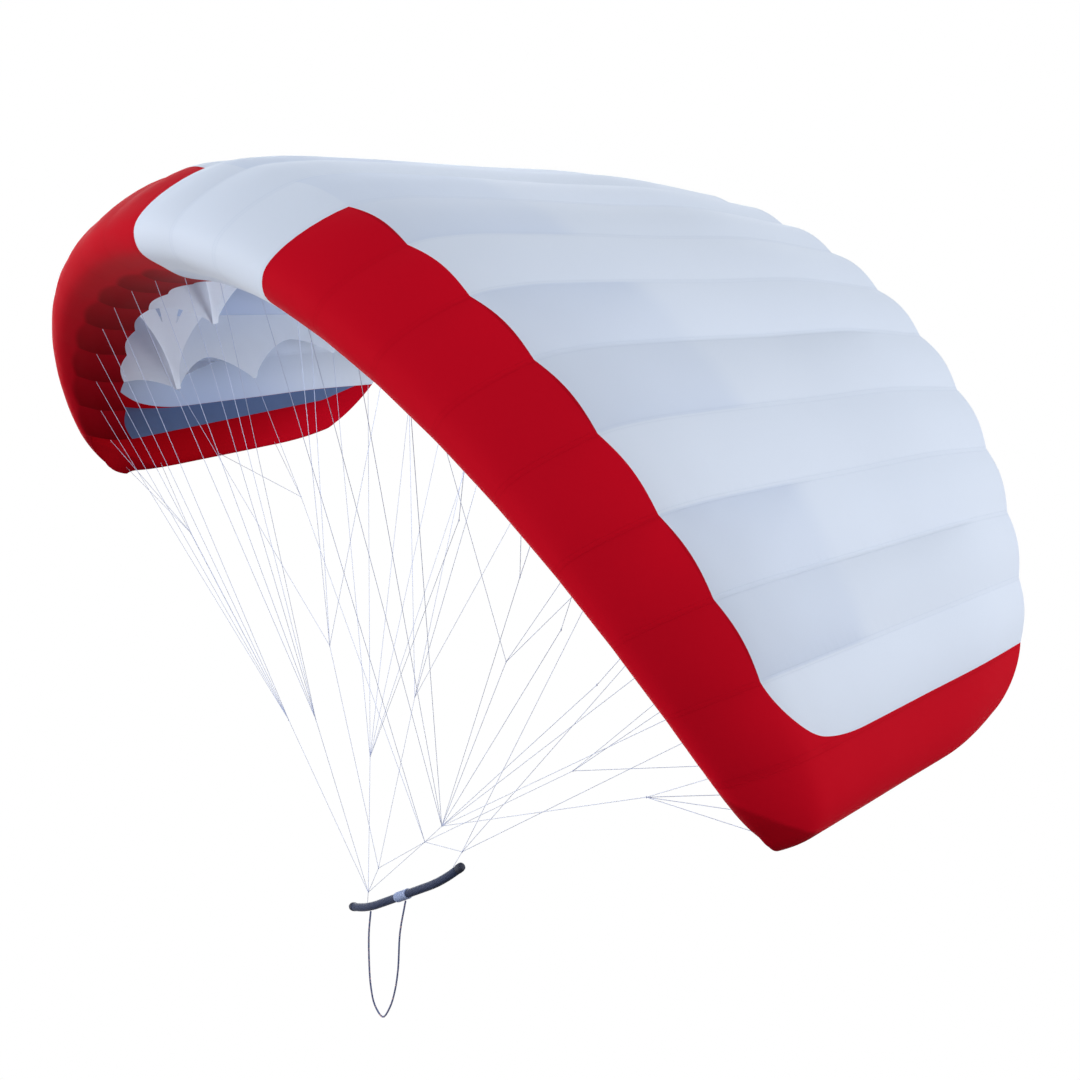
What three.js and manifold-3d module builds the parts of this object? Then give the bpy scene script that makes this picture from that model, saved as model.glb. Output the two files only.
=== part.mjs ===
// A parawing of 4.5 square metres, shown in flight above its control bar.
// Millimetres, +Z up, +X to the flyer's right, the wing's nose toward -Y.
// The origin is the middle of the bar's grip, where the flyer's hand holds it.
import * as THREE from 'three';
import { mergeVertices } from 'three/addons/utils/BufferGeometryUtils.js';
import Module from 'manifold-3d';

// Wing plan: 19 cells and two tip cells, with ribs halfway between whole stations.
const ROOT_CHORD = 1483;
const CELL_WIDTH = 188;
const CELL_TAPER = 0.38;
const CHORD_LOSS = 0.445;
const CHORD_POWER = 2.23;
const NOSE_SWEEP = 309;
const SWEEP_POWER = 2.2;
const TWIST_ROOT = -0.028;
const TWIST_TIP = -0.034;
const ARCH = 1.144;
const ARCH_TIP = 0.119;
const LAST_STATION = 10.5;
const TIP_RIB = 9.5;
const TIP_REACH = 1.394;
const TIP_CORNER = 0.122;
const WING_BACK = -405;
const WING_RISE = 1684;

// Cloth and cord sizes.
const CLOTH = 1;
const GAP = 0.3;
const LINE_WIDTH = 1.5;
const KNOT_RADIUS = 3;
const TAB_HALF = 9;
const RIB_CLEAR = 0.4;
const LINE_CLEAR = 0.5;
const WELD = 1e-4;

// Reach, in stations and spots, over which the direction of a surface is measured.
const NORMAL_REACH = 0.04;

// Wing section, in parts of the local chord: how far back, how far up, and how far the cloth
// swells out halfway between two ribs.
const SECTION = [
  { spot: 'lower edge', back: 0.141, up: -0.026, swell: 0.0006 },
  { spot: 'front line', back: 0.0764, up: -0.0095, swell: 0.0006 },
  { spot: 'lip', back: 0.0428, up: 0.0117, swell: 0.0006 },
  { spot: 'chin', back: 0.0072, up: 0.0427, swell: 0.0006 },
  { spot: 'nose', back: 0.005, up: 0.078, swell: 0.0006 },
  { spot: 'brow', back: 0.0405, up: 0.1125, swell: 0.0025 },
  { spot: 'colour seam', back: 0.1393, up: 0.1523, swell: 0.0051 },
  { spot: 'crest', back: 0.22, up: 0.1537, swell: 0.0057 },
  { spot: 'shoulder', back: 0.36, up: 0.1337, swell: 0.0063 },
  { spot: 'middle', back: 0.6, up: 0.0901, swell: 0.0076 },
  { spot: 'rear', back: 0.8, up: 0.056, swell: 0.008 },
  { spot: 'tail', back: 1, up: 0, swell: 0.0081 },
];
const FRONT_SPOT = 1;
const BROW_SPOT = 5;
const SEAM_SPOT = 6;
const SHOULDER_SPOT = 8;
const TAIL_SPOT = SECTION.length - 1;
const SEAM_SCALLOP = 0.06;
const LOWER_SCALLOP = 0.15;
const CORNER_SPOTS = 2;

// Toward each tip the rear of the section gets thinner; past the tip rib the whole section shrinks.
const THIN_START = 7.5;
const TIP_THIN = { left: 0.45, right: 0.1 };
const TIP_CENTRE = { back: 0.139, up: -0.036 };
const TIP_SHRINK = 0.394;
const TIP_TAIL = 0.11;
const TIP_TAB_STATION = 10.36;
const TIP_TAB_INSET = 5;

// Rows and columns of the cloth's grid.
const NOSE_ROWS = 10;
const REAR_ROWS = 9;
const CELL_COLUMNS = 4;
const CORNER_COLUMNS = 5;
const TIP_ANGLES = [15, 30, 60, 75, 90];

// Past the tip rib the cloth begins higher on the nose, at this row, and its edge climbs to a spot.
const TIP_LIP = { row: 3, spot: 3.8, angle: 60 };
const SEAM_RIB = 1.5;
const CORNER_RIB = 8.5;

// Lower edge of a load rib: tab tips and the arches between them.
const LOAD_EDGE = [
  { spot: 'front arch', back: 0.165, up: -0.026 },
  { spot: 'B tab', back: 0.264, up: -0.074 },
  { spot: 'B arch', back: 0.37, up: 0.001 },
  { spot: 'C tab', back: 0.465, up: -0.085 },
  { spot: 'C arch', back: 0.6, up: 0.009 },
  { spot: 'D tab', back: 0.7, up: -0.055 },
];
const LOAD_END = 0.86;
const TAIL_ARCH = { back: 0.45, up: 0.2 };
const ARCH_STEPS = 4;
const ARCH_POWER = 1.7;
const LOAD_RIBS = [2, 5, 8];
const NOSE_RIBS = [1, 3, 4, 6, 7, 9];
const CLOSED_RIB = 10;
const TIP_EDGE = 11;

// Rear and lower edge of the short nose ribs, and lower edge of the closed rib at each tip.
const NOSE_RIB_END = 0.15;
const NOSE_RIB_EDGE = [
  { back: 0.142, up: 0.1 },
  { back: 0.135, up: 0.03 },
];
const CLOSED_RIB_END = 0.94;
const CLOSED_RIB_EDGE = [
  { back: 0.8, up: -0.026 },
  { back: 0.15, up: -0.026 },
];

// Slanted bracing panels: from each load rib's B tab up to the seams on both sides of it.
const BRACE_TOP = { front: 0.155, rear: 0.47 };
const BRACE_FOOT = 0.006;
const BRACE_INSET = 1.5;
const BRACE_DROP = 4;
const BRACE_BEND = 2.3;

// Rows of a bracing panel as shares of its height, and its column lines as shares of its width
// below and above its two tapering slots.
const BRACE_ROWS = [0, 0.2, 0.4, 0.62, 0.72, 0.82, 0.92, 1];
const BRACE_COLUMNS = [
  { line: 'front edge', low: 0, high: 0 },
  { line: 'first slot, front', low: 0.34, high: 0.23 },
  { line: 'first slot, rear', low: 0.36, high: 0.35 },
  { line: 'second slot, front', low: 0.62, high: 0.61 },
  { line: 'second slot, rear', low: 0.64, high: 0.74 },
  { line: 'rear edge', low: 1, high: 1 },
];
const BRACE_SLOTS = { columns: [1, 3], firstRow: 3, lastRow: 5 };

// Control bar: a tube with upswept ends, a centre sleeve and two end caps.
const BAR = {
  length: 580,
  diameter: 22,
  straight: 140,
  sweep: 17,
  yaw: 4.1,
  tilt: 34.7,
  roll: -36.7,
};
const SLEEVE = { length: 62, diameter: 27 };
const CAP = { length: 22, diameter: 24, taper: 4 };
const BAR_ENDS = { barLeft: -199, barRight: 280 };
const BAR_CLEAR = 1.1;
const BAR_STEPS = 24;
const ROUND_SIDES = 16;

// Joins of the lines, in millimetres from the grip's middle.
const JOINS = {
  leftTipFront: [-1100, 34, 679],
  leftFront: [-450, -46, 349],
  leftInner: [-240, -77, 444],
  leftMiddle: [-350, 44, 577],
  leftRear: [-320, 121, 231],
  leftTipRear: [-1030, 369, 724],
  centreRear: [-170, 184, 447],
  leftLow: [-80, -20, 52],
  leftMain: [-120, -34, -35],
  crossMain: [50, 47, 164],
  rightFront: [120, 57, 238],
  rightMain: [200, 61, 199],
  rightRear: [350, 120, 758],
  rightTipRear: [540, 160, 534],
  rightTipFront: [980, 16, 709],
  rightEight: [950, -80, 987],
  rightSeven: [850, -89, 1076],
  rightSix: [720, -92, 1151],
  rightFive: [620, -167, 1268],
};

// Lines that rise from each join: side, row letter and rib number of the tab, and the join below.
// Joins of one set share a solid, as its lines are sewn to each other.
const CASCADES = [
  { set: 'left_front', join: 'leftFront', tabs: ['LA9', 'LA8', 'LA7', 'LA6', 'LA5'], foot: 'leftMain' },
  { set: 'left_front', join: 'leftTipFront', tabs: ['LA11', 'LA10', 'LB11'], foot: 'leftFront' },
  { set: 'left_inner', join: 'leftInner', tabs: ['LA4', 'LA3', 'LA2', 'LA1', 'LB5'], foot: 'leftMain' },
  { set: 'left_middle', join: 'leftMiddle', tabs: ['LB2', 'LC5', 'LC2', 'LB8'], foot: 'leftLow' },
  { set: 'left_rear', join: 'leftRear', tabs: ['LD8', 'LE10', 'LE8', 'LE6', 'LE4'], foot: 'leftMain' },
  { set: 'left_rear', join: 'rightFive', tabs: ['RA5'], foot: 'leftRear' },
  { set: 'left_tip', join: 'leftTipRear', tabs: ['LC11', 'LD11', 'LC8'], foot: 'crossMain' },
  { set: 'centre_rear', join: 'centreRear', tabs: ['LD5', 'LD2', 'RC2', 'RD2'], foot: 'leftLow' },
  { set: 'main', join: 'leftMain', tabs: [], foot: 'barLeft' },
  { set: 'main', join: 'leftLow', tabs: [], foot: 'leftMain' },
  { set: 'main', join: 'crossMain', tabs: ['RA1'], foot: 'leftMain' },
  { set: 'main', join: 'crossMain', tabs: [], foot: 'leftLow' },
  { set: 'main', join: 'crossMain', tabs: [], foot: 'rightMain' },
  { set: 'main', join: 'rightTipRear', tabs: ['RC8', 'RD8', 'RD11'], foot: 'crossMain' },
  { set: 'main', join: 'rightMain', tabs: ['RE2', 'RE5', 'RE9'], foot: 'barRight' },
  { set: 'main', join: 'rightFront', tabs: ['RA9', 'RA4', 'RA3', 'RA2', 'RB8'], foot: 'crossMain' },
  { set: 'main', join: 'rightRear', tabs: ['RC5', 'RD5', 'RB2'], foot: 'rightFront' },
  { set: 'main', join: 'rightTipFront', tabs: ['RA11', 'RA10', 'RB11', 'RC11'], foot: 'rightFront' },
  { set: 'main', join: 'rightEight', tabs: ['RA8'], foot: 'rightFront' },
  { set: 'main', join: 'rightSeven', tabs: ['RA7'], foot: 'rightFront' },
  { set: 'main', join: 'rightSix', tabs: ['RA6', 'RB5'], foot: 'rightFront' },
];
const TIP_TABS = { A: 0.088, B: 0.264, C: 0.5, D: 0.75 };
const REAR_TAB = 0.985;

// Harness loop: a cord from under the bar's left line down and up to the sleeve.
const LOOP_DIAMETER = 5;
const LOOP_CLEAR = 2.6;
const LOOP_STEPS = 44;
const LOOP_SIDES = 8;
const LOOP_MIDDLE = [
  [-176, -11, -200],
  [-187, -12, -300],
  [-189, -12, -380],
  [-178, -11, -433],
  [-147, -9, -455],
  [-106, -7, -405],
  [-73, -5, -332],
  [-50, -3, -250],
  [-28, -2, -130],
];

const wasm = await Module();
wasm.setup();

const WHITE = new THREE.MeshStandardMaterial({ color: 0xcdd6e6, roughness: 0.6 });
const RED = new THREE.MeshStandardMaterial({ color: 0xb01424, roughness: 0.6 });
const CORD = new THREE.MeshStandardMaterial({ color: 0xb9bfd0, roughness: 0.7 });
const CARBON = new THREE.MeshStandardMaterial({ color: 0x40485f, roughness: 0.45 });
const RUBBER = new THREE.MeshStandardMaterial({ color: 0x1c202c, roughness: 0.8 });
const SLEEVE_GREY = new THREE.MeshStandardMaterial({ color: 0x7d89ac, roughness: 0.5 });

const parawing = new THREE.Group();
const mix = THREE.MathUtils.lerp;
const sideName = (side) => (side < 0 ? 'left' : 'right');

function addMesh(name, geometry, material) {
  const mesh = new THREE.Mesh(geometry, material);
  mesh.name = name;
  parawing.add(mesh);
  return mesh;
}

// Seam line of the wing from its middle to one tip, walked in small steps.
const WALK_STEPS = 16;
const seamLine = [{ x: 0, z: 0 }];
for (let i = 1; i <= (LAST_STATION + 1) * WALK_STEPS; i += 1) {
  const station = (i - 0.5) / WALK_STEPS;
  const share = Math.min(station / LAST_STATION, 1);
  const step = CELL_WIDTH * (1 - CELL_TAPER * share ** 2) / WALK_STEPS;
  const tilt = ARCH * share + ARCH_TIP * share ** 3;
  const last = seamLine[i - 1];
  seamLine.push({ x: last.x + step * Math.cos(tilt), z: last.z - step * Math.sin(tilt) });
}

// Local frame of the wing at a station: origin, chord axis, up axis, side axis and chord.
function frameAt(station) {
  const side = Math.sign(station) || 1;
  const walked = Math.abs(station) * WALK_STEPS;
  const index = Math.min(Math.floor(walked), seamLine.length - 2);
  const share = Math.min(Math.abs(station) / LAST_STATION, 1);
  const tilt = side * (ARCH * share + ARCH_TIP * share ** 3);
  const twist = TWIST_ROOT + TWIST_TIP * share ** 2;
  const chord = ROOT_CHORD * (1 - CHORD_LOSS * share ** CHORD_POWER);
  const origin = new THREE.Vector3(
    side * mix(seamLine[index].x, seamLine[index + 1].x, walked - index),
    WING_BACK + NOSE_SWEEP * share ** SWEEP_POWER,
    WING_RISE + mix(seamLine[index].z, seamLine[index + 1].z, walked - index),
  );
  const normal = new THREE.Vector3(Math.sin(tilt), 0, Math.cos(tilt));
  const aft = new THREE.Vector3(0, 1, 0);
  const along = aft.clone().multiplyScalar(Math.cos(twist)).addScaledVector(normal, Math.sin(twist));
  const up = normal.clone().multiplyScalar(Math.cos(twist)).addScaledVector(aft, -Math.sin(twist));
  return { origin, along, up, side: along.clone().cross(up), chord };
}

function placeAt(frame, back, up) {
  return frame.origin.clone()
    .addScaledVector(frame.along, back * frame.chord)
    .addScaledVector(frame.up, up * frame.chord);
}

const sectionCurve = new THREE.CatmullRomCurve3(
  SECTION.map((row) => new THREE.Vector3(row.back, row.up, row.swell)),
  false,
  'centripetal',
);

// Share of a cell's full swell or scallop at a station: 0 at each rib, 1 halfway between two.
const cellShare = (station) => Math.sin(Math.PI * ((Math.abs(station) + 0.5) % 1));

// Point of the section at a spot number, its swell, and the outward normal there.
function sectionAt(spot) {
  const share = THREE.MathUtils.clamp(spot / TAIL_SPOT, 0, 1);
  const point = sectionCurve.getPoint(share);
  const tangent = sectionCurve.getTangent(share).setZ(0).normalize();
  return { back: point.x, up: point.y, swell: point.z, outBack: -tangent.y, outUp: tangent.x };
}

// Share of a spot in the rear of the section: 0 up to the brow, 1 from the shoulder on.
const rearShare = (spot) => THREE.MathUtils.smoothstep(spot, BROW_SPOT, SHOULDER_SPOT);

// The section of one station, thinner at the rear when the station is near a tip.
function sectionOf(station, spot) {
  const section = sectionAt(spot);
  const tipShare = THREE.MathUtils.smoothstep(Math.abs(station), THIN_START, TIP_RIB);
  section.up *= 1 - TIP_THIN[sideName(station)] * tipShare * rearShare(spot);
  return section;
}

// Spot number on the upper side that lies a given part of the chord back.
function spotAtBack(back) {
  let low = BROW_SPOT;
  let high = TAIL_SPOT;
  for (let i = 0; i < 30; i += 1) {
    const middle = (low + high) / 2;
    if (sectionAt(middle).back < back) low = middle;
    else high = middle;
  }
  return (low + high) / 2;
}

// Outer surface of the cloth. Past the tip rib the section turns down and shrinks toward its edge.
function clothPoint(station, spot) {
  const size = Math.abs(station);
  const section = sectionOf(station, spot);
  if (size > TIP_RIB) {
    const angle = (size - TIP_RIB) * Math.PI / 2;
    const shrink = mix(TIP_SHRINK, 1, Math.cos(angle));
    const reach = TIP_REACH - TIP_CORNER * section.back;
    const noseBack = mix(TIP_CENTRE.back, section.back, shrink);
    const rearBack = section.back * (1 - TIP_TAIL * (1 - Math.cos(angle)));
    const frame = frameAt(Math.sign(station) * (TIP_RIB + reach * Math.sin(angle)));
    const back = mix(noseBack, rearBack, rearShare(spot));
    return placeAt(frame, back, mix(TIP_CENTRE.up, section.up, shrink));
  }
  const swell = section.swell * cellShare(station);
  const back = section.back + section.outBack * swell;
  return placeAt(frameAt(station), back, section.up + section.outUp * swell);
}

function clothNormal(station, spot) {
  const reach = NORMAL_REACH;
  const limit = TIP_RIB + 1;
  const before = clothPoint(Math.max(station - reach, -limit), spot);
  const after = clothPoint(Math.min(station + reach, limit), spot);
  const ahead = clothPoint(station, Math.max(spot - reach, 0));
  const behind = clothPoint(station, Math.min(spot + reach, TAIL_SPOT));
  return after.sub(before).cross(behind.sub(ahead)).normalize();
}

// Closed solid of the chosen squares of a grid, with its outer side given and its inner side
// one cloth thickness below. Each square is split along its shorter diagonal.
function sheetSolid(columns, rows, pointAt, isIn) {
  const positions = [];
  const indices = [];
  const outer = new Map();
  const key = (i, j) => i * (rows + 1) + j;
  function corner(i, j) {
    if (!outer.has(key(i, j))) {
      outer.set(key(i, j), positions.length / 3);
      const { point, normal } = pointAt(i, j);
      positions.push(...point.toArray());
      positions.push(...point.clone().addScaledVector(normal, -CLOTH).toArray());
    }
    return outer.get(key(i, j));
  }
  function wall(a, b) {
    indices.push(a, a + 1, b + 1, a, b + 1, b);
  }
  function span(a, b) {
    const start = new THREE.Vector3().fromArray(positions, 3 * a);
    return start.distanceTo(new THREE.Vector3().fromArray(positions, 3 * b));
  }
  function triangle(a, b, c) {
    indices.push(a, b, c, a + 1, c + 1, b + 1);
  }
  for (let i = 0; i < columns; i += 1) {
    for (let j = 0; j < rows; j += 1) {
      if (!isIn(i, j)) continue;
      const a = corner(i, j);
      const b = corner(i + 1, j);
      const c = corner(i + 1, j + 1);
      const d = corner(i, j + 1);
      if (span(a, c) <= span(b, d)) {
        triangle(a, b, c);
        triangle(a, c, d);
      } else {
        triangle(a, b, d);
        triangle(b, c, d);
      }
      if (j === 0 || !isIn(i, j - 1)) wall(a, b);
      if (i === columns - 1 || !isIn(i + 1, j)) wall(b, c);
      if (j === rows - 1 || !isIn(i, j + 1)) wall(c, d);
      if (i === 0 || !isIn(i - 1, j)) wall(d, a);
    }
  }
  const geometry = new THREE.BufferGeometry();
  geometry.setAttribute('position', new THREE.Float32BufferAttribute(positions, 3));
  geometry.setIndex(indices);
  return geometry;
}

// Stations of the cloth's columns on one side. They close up where the colour seam rounds its corner.
function columnStations(first) {
  const list = [];
  for (let i = Math.round(first * CELL_COLUMNS); i <= CORNER_RIB * CELL_COLUMNS; i += 1) {
    list.push(i / CELL_COLUMNS);
  }
  for (let i = 1; i <= CORNER_COLUMNS; i += 1) {
    list.push(CORNER_RIB + Math.sin(Math.PI / 2 * i / CORNER_COLUMNS));
  }
  return list;
}

// Where the colour seam lies at a station, as a spot number: it rounds the corner at the tip.
function seamSpot(station) {
  const size = Math.abs(station);
  if (size < CORNER_RIB) return SEAM_SPOT + SEAM_SCALLOP * cellShare(station);
  const part = Math.min(size - CORNER_RIB, 1);
  return SEAM_SPOT + CORNER_SPOTS * (1 - Math.sqrt(1 - part ** 2));
}

// Spot of a row of the nose: from the lower edge to the colour seam, or from the tip's own lip.
function noseSpot(station, row, seam) {
  const past = Math.abs(station) - TIP_RIB;
  if (past < 0) return mix(LOWER_SCALLOP * cellShare(station), seam, row / NOSE_ROWS);
  const climb = Math.min(past * 90 / TIP_LIP.angle, 1);
  const lip = mix(seam * TIP_LIP.row / NOSE_ROWS, TIP_LIP.spot, climb);
  return mix(lip, seam, (row - TIP_LIP.row) / (NOSE_ROWS - TIP_LIP.row));
}

function rowSpot(station, row, shift) {
  const seam = seamSpot(station) + shift;
  if (row <= NOSE_ROWS) return noseSpot(station, row, seam);
  return mix(seam, TAIL_SPOT, (row - NOSE_ROWS) / REAR_ROWS);
}

const ALL_ROWS = NOSE_ROWS + REAR_ROWS;

// Half of a seam's gap, as a share of the narrowest cell and of the shortest spot spacing.
const NARROW_CELL = 120;
const NARROW_SPOT = 110;
const STATION_SHIFT = GAP / 2 / NARROW_CELL;
const SPOT_SHIFT = GAP / 2 / NARROW_SPOT;

// One cloth panel over a list of stations, cut back at its seams: by a shift of spots at the colour
// seam, and by a shift of stations, out (1) or in (-1), at the ribs where another cloth begins.
function addPanel(name, stations, spotShift, out, isIn, material) {
  const seams = [SEAM_RIB, TIP_RIB];
  const geometry = sheetSolid(
    stations.length - 1,
    ALL_ROWS,
    (i, j) => {
      const shift = seams.includes(Math.abs(stations[i])) ? out * STATION_SHIFT : 0;
      const station = stations[i] + Math.sign(stations[i]) * shift;
      const spot = rowSpot(stations[i], j, spotShift);
      return { point: clothPoint(station, spot), normal: clothNormal(station, spot) };
    },
    (i, j) => isIn(Math.abs(stations[i] + stations[i + 1]) / 2, j),
  );
  addMesh(name, geometry, material);
}

function addWhitePanel() {
  const half = columnStations(0);
  const stations = [...half.slice(1).reverse().map((station) => -station), ...half];
  const isIn = (middle, row) => row >= NOSE_ROWS || middle < SEAM_RIB;
  addPanel('canopy_white', stations, SPOT_SHIFT, -1, isIn, WHITE);
}

function addRedPanel(side) {
  const stations = [
    ...columnStations(SEAM_RIB),
    ...TIP_ANGLES.map((angle) => TIP_RIB + angle / 90),
  ];
  if (side < 0) stations.reverse();
  const isIn = (middle, row) => (middle < TIP_RIB ? row < NOSE_ROWS : row >= TIP_LIP.row);
  const signed = stations.map((station) => side * station);
  addPanel(`canopy_red_${sideName(side)}`, signed, -SPOT_SHIFT, 1, isIn, RED);
}

// Turns a flat outline, given back and up in millimetres, into a rib one cloth thick.
function addFlat(name, frame, outline, material) {
  const shape = new THREE.Shape(outline.map(([back, up]) => new THREE.Vector2(back, up)));
  const geometry = new THREE.ExtrudeGeometry(shape, { depth: CLOTH, bevelEnabled: false });
  geometry.translate(0, 0, -CLOTH / 2);
  const mesh = addMesh(name, geometry, material);
  mesh.applyMatrix4(new THREE.Matrix4().makeBasis(frame.along, frame.up, frame.side));
  mesh.position.copy(frame.origin);
}

// Edge of a rib that follows the cloth, in millimetres: from the lower edge of the nose up to the
// given spot, moved in by the cloth and the gap.
function ribTop(frame, station, end) {
  const inset = CLOTH + GAP + RIB_CLEAR;
  const points = [];
  for (let row = 0; row <= ALL_ROWS; row += 1) {
    const spot = rowSpot(station, row, 0);
    if (spot > end) break;
    const section = sectionOf(station, spot);
    points.push([
      section.back * frame.chord - inset * section.outBack,
      section.up * frame.chord - inset * section.outUp,
    ]);
  }
  return points;
}

// Soft arch between two low points of a rib's edge, without its end points.
function archPoints(start, top, end) {
  const points = [];
  for (let i = 1; i < 2 * ARCH_STEPS; i += 1) {
    const half = i <= ARCH_STEPS ? start : end;
    const share = Math.abs(i - ARCH_STEPS) / ARCH_STEPS;
    points.push([mix(top[0], half[0], share), mix(top[1], half[1], share ** ARCH_POWER)]);
  }
  return points;
}

const scaled = (rows, chord) => rows.map((row) => [row.back * chord, row.up * chord]);

function addLoadRib(number, side) {
  const station = side * (number - 0.5);
  const frame = frameAt(station);
  const top = ribTop(frame, station, spotAtBack(LOAD_END));
  const [frontArch, tabB, archB, tabC, archC, tabD] = scaled(LOAD_EDGE, frame.chord);
  const last = top[top.length - 1];
  const tailArch = [mix(last[0], tabD[0], TAIL_ARCH.back), mix(last[1], tabD[1], TAIL_ARCH.up)];
  const tip = ([back, up]) => [[back + TAB_HALF, up], [back - TAB_HALF, up]];
  const lower = [
    ...archPoints(last, tailArch, tabD),
    ...tip(tabD),
    ...archPoints(tabD, archC, tabC),
    ...tip(tabC),
    ...archPoints(tabC, archB, tabB),
    ...tip(tabB),
    ...archPoints(tabB, frontArch, top[0]),
  ];
  addFlat(`rib_load_${sideName(side)}_${number}`, frame, [...top, ...lower], WHITE);
}

function addNoseRib(number, side) {
  const station = side * (number - 0.5);
  const frame = frameAt(station);
  const top = ribTop(frame, station, spotAtBack(NOSE_RIB_END));
  const rear = scaled(NOSE_RIB_EDGE, frame.chord);
  const material = number > 1 ? RED : WHITE;
  addFlat(`rib_nose_${sideName(side)}_${number}`, frame, [...top, ...rear], material);
}

function addClosedRib(side) {
  const station = side * TIP_RIB;
  const frame = frameAt(station);
  const top = ribTop(frame, station, spotAtBack(CLOSED_RIB_END));
  const lower = scaled(CLOSED_RIB_EDGE, frame.chord);
  addFlat(`rib_tip_${sideName(side)}_${CLOSED_RIB}`, frame, [...top, ...lower], WHITE);
}

// Bracing panel of a load rib toward the seam inboard (-1) or outboard (1) of it.
function addBrace(number, side, toward) {
  const foot = frameAt(side * (number - 0.5));
  const headStation = side * (number - 0.5 + toward);
  const head = frameAt(headStation);
  const tab = LOAD_EDGE.find((row) => row.spot === 'B tab');
  const low = BRACE_ROWS[BRACE_SLOTS.firstRow];
  const high = BRACE_ROWS[BRACE_SLOTS.lastRow + 1];
  const place = (share, height) => {
    const footBack = tab.back + mix(-BRACE_FOOT, BRACE_FOOT, share);
    const bottom = placeAt(foot, footBack, tab.up)
      .addScaledVector(foot.side, toward * side * BRACE_INSET);
    const headSpot = spotAtBack(mix(BRACE_TOP.front, BRACE_TOP.rear, share));
    const top = clothPoint(headStation, headSpot)
      .addScaledVector(clothNormal(headStation, headSpot), -BRACE_DROP)
      .addScaledVector(head.side, -toward * side * BRACE_INSET);
    const point = bottom.clone().lerp(top, height);
    const straight = bottom.y + (top.y - bottom.y) * height ** BRACE_BEND;
    return point.setY(straight);
  };
  const pointAt = (i, j) => {
    const height = BRACE_ROWS[j];
    const open = THREE.MathUtils.clamp((height - low) / (high - low), 0, 1);
    const share = mix(BRACE_COLUMNS[i].low, BRACE_COLUMNS[i].high, open);
    const reach = NORMAL_REACH / 2;
    const across = place(share + reach, height).sub(place(share - reach, height));
    const rise = place(share, height + reach).sub(place(share, Math.max(height - reach, 0)));
    const normal = across.cross(rise).normalize();
    return { point: place(share, height).addScaledVector(normal, CLOTH / 2), normal };
  };
  const isIn = (i, j) => {
    const slotRow = j >= BRACE_SLOTS.firstRow && j <= BRACE_SLOTS.lastRow;
    return !(slotRow && BRACE_SLOTS.columns.includes(i));
  };
  const geometry = sheetSolid(BRACE_COLUMNS.length - 1, BRACE_ROWS.length - 1, pointAt, isIn);
  const direction = toward < 0 ? 'in' : 'out';
  addMesh(`brace_${sideName(side)}_${number}_${direction}`, geometry, WHITE);
}

// Point beside the cloth's outer side at a station and a spot, so far out along its normal.
function besideCloth(station, spot, out) {
  return clothPoint(station, spot).addScaledVector(clothNormal(station, spot), out);
}

// Place of a line's upper end, from a code such as LB5: side, row and rib.
function tabPlace(code) {
  const side = code[0] === 'L' ? -1 : 1;
  const row = code[1];
  const number = Number(code.slice(2));
  const station = side * (number - 0.5);
  const clear = GAP + LINE_CLEAR;
  if (number === TIP_EDGE) {
    return besideCloth(side * TIP_TAB_STATION, spotAtBack(TIP_TABS[row]), -TIP_TAB_INSET);
  }
  if (row === 'E') return besideCloth(station, spotAtBack(REAR_TAB), -CLOTH - clear);
  if (row === 'A') return besideCloth(station, FRONT_SPOT, clear + LINE_CLEAR);
  const frame = frameAt(station);
  const edge = LOAD_EDGE.find((entry) => entry.spot === `${row} tab`);
  return placeAt(frame, edge.back, edge.up - clear / frame.chord);
}

function toSolid(geometry) {
  geometry.deleteAttribute('normal');
  geometry.deleteAttribute('uv');
  const merged = mergeVertices(geometry, WELD);
  return new wasm.Manifold(new wasm.Mesh({
    numProp: 3,
    vertProperties: new Float32Array(merged.attributes.position.array),
    triVerts: new Uint32Array(merged.index.array),
  }));
}

function toGeometry(solid) {
  const mesh = solid.getMesh();
  const geometry = new THREE.BufferGeometry();
  geometry.setAttribute('position', new THREE.BufferAttribute(mesh.vertProperties, 3));
  geometry.setIndex(new THREE.BufferAttribute(mesh.triVerts, 1));
  return geometry;
}

// Straight line between two points, square in section.
function strand(start, end) {
  const span = end.clone().sub(start);
  const length = span.length();
  const geometry = new THREE.CylinderGeometry(LINE_WIDTH / 2, LINE_WIDTH / 2, length, 4);
  const upright = new THREE.Vector3(0, 1, 0);
  geometry.applyQuaternion(new THREE.Quaternion().setFromUnitVectors(upright, span.normalize()));
  const middle = start.clone().lerp(end, 0.5);
  geometry.translate(middle.x, middle.y, middle.z);
  return geometry;
}

// Bar frame: the tube's own length runs from the low left end to the high right end.
const barTurn = new THREE.Euler(
  THREE.MathUtils.degToRad(BAR.roll),
  -THREE.MathUtils.degToRad(BAR.tilt),
  THREE.MathUtils.degToRad(BAR.yaw),
  'ZYX',
);

function barPoint(along) {
  const past = Math.max(Math.abs(along) - BAR.straight, 0) / (BAR.length / 2 - BAR.straight);
  return new THREE.Vector3(along, 0, BAR.sweep * past ** 2).applyEuler(barTurn);
}

// Place above the bar's tube, or under it where out is negative.
function besideBar(along, out) {
  const tangent = barPoint(along + 1).sub(barPoint(along - 1)).normalize();
  const rise = new THREE.Vector3(0, 0, 1);
  rise.addScaledVector(tangent, -rise.dot(tangent)).normalize();
  return barPoint(along).addScaledVector(rise, out);
}

// Lower end of a line: at the middle of a join of its own set, or just short of another's knot.
function footPlace(join, row) {
  if (row.foot in BAR_ENDS) return besideBar(BAR_ENDS[row.foot], BAR.diameter / 2 + BAR_CLEAR);
  const foot = new THREE.Vector3(...JOINS[row.foot]);
  const owner = CASCADES.find((other) => other.join === row.foot);
  if (owner.set === row.set) return foot;
  const back = join.clone().sub(foot).normalize();
  return foot.addScaledVector(back, KNOT_RADIUS + GAP);
}

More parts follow.
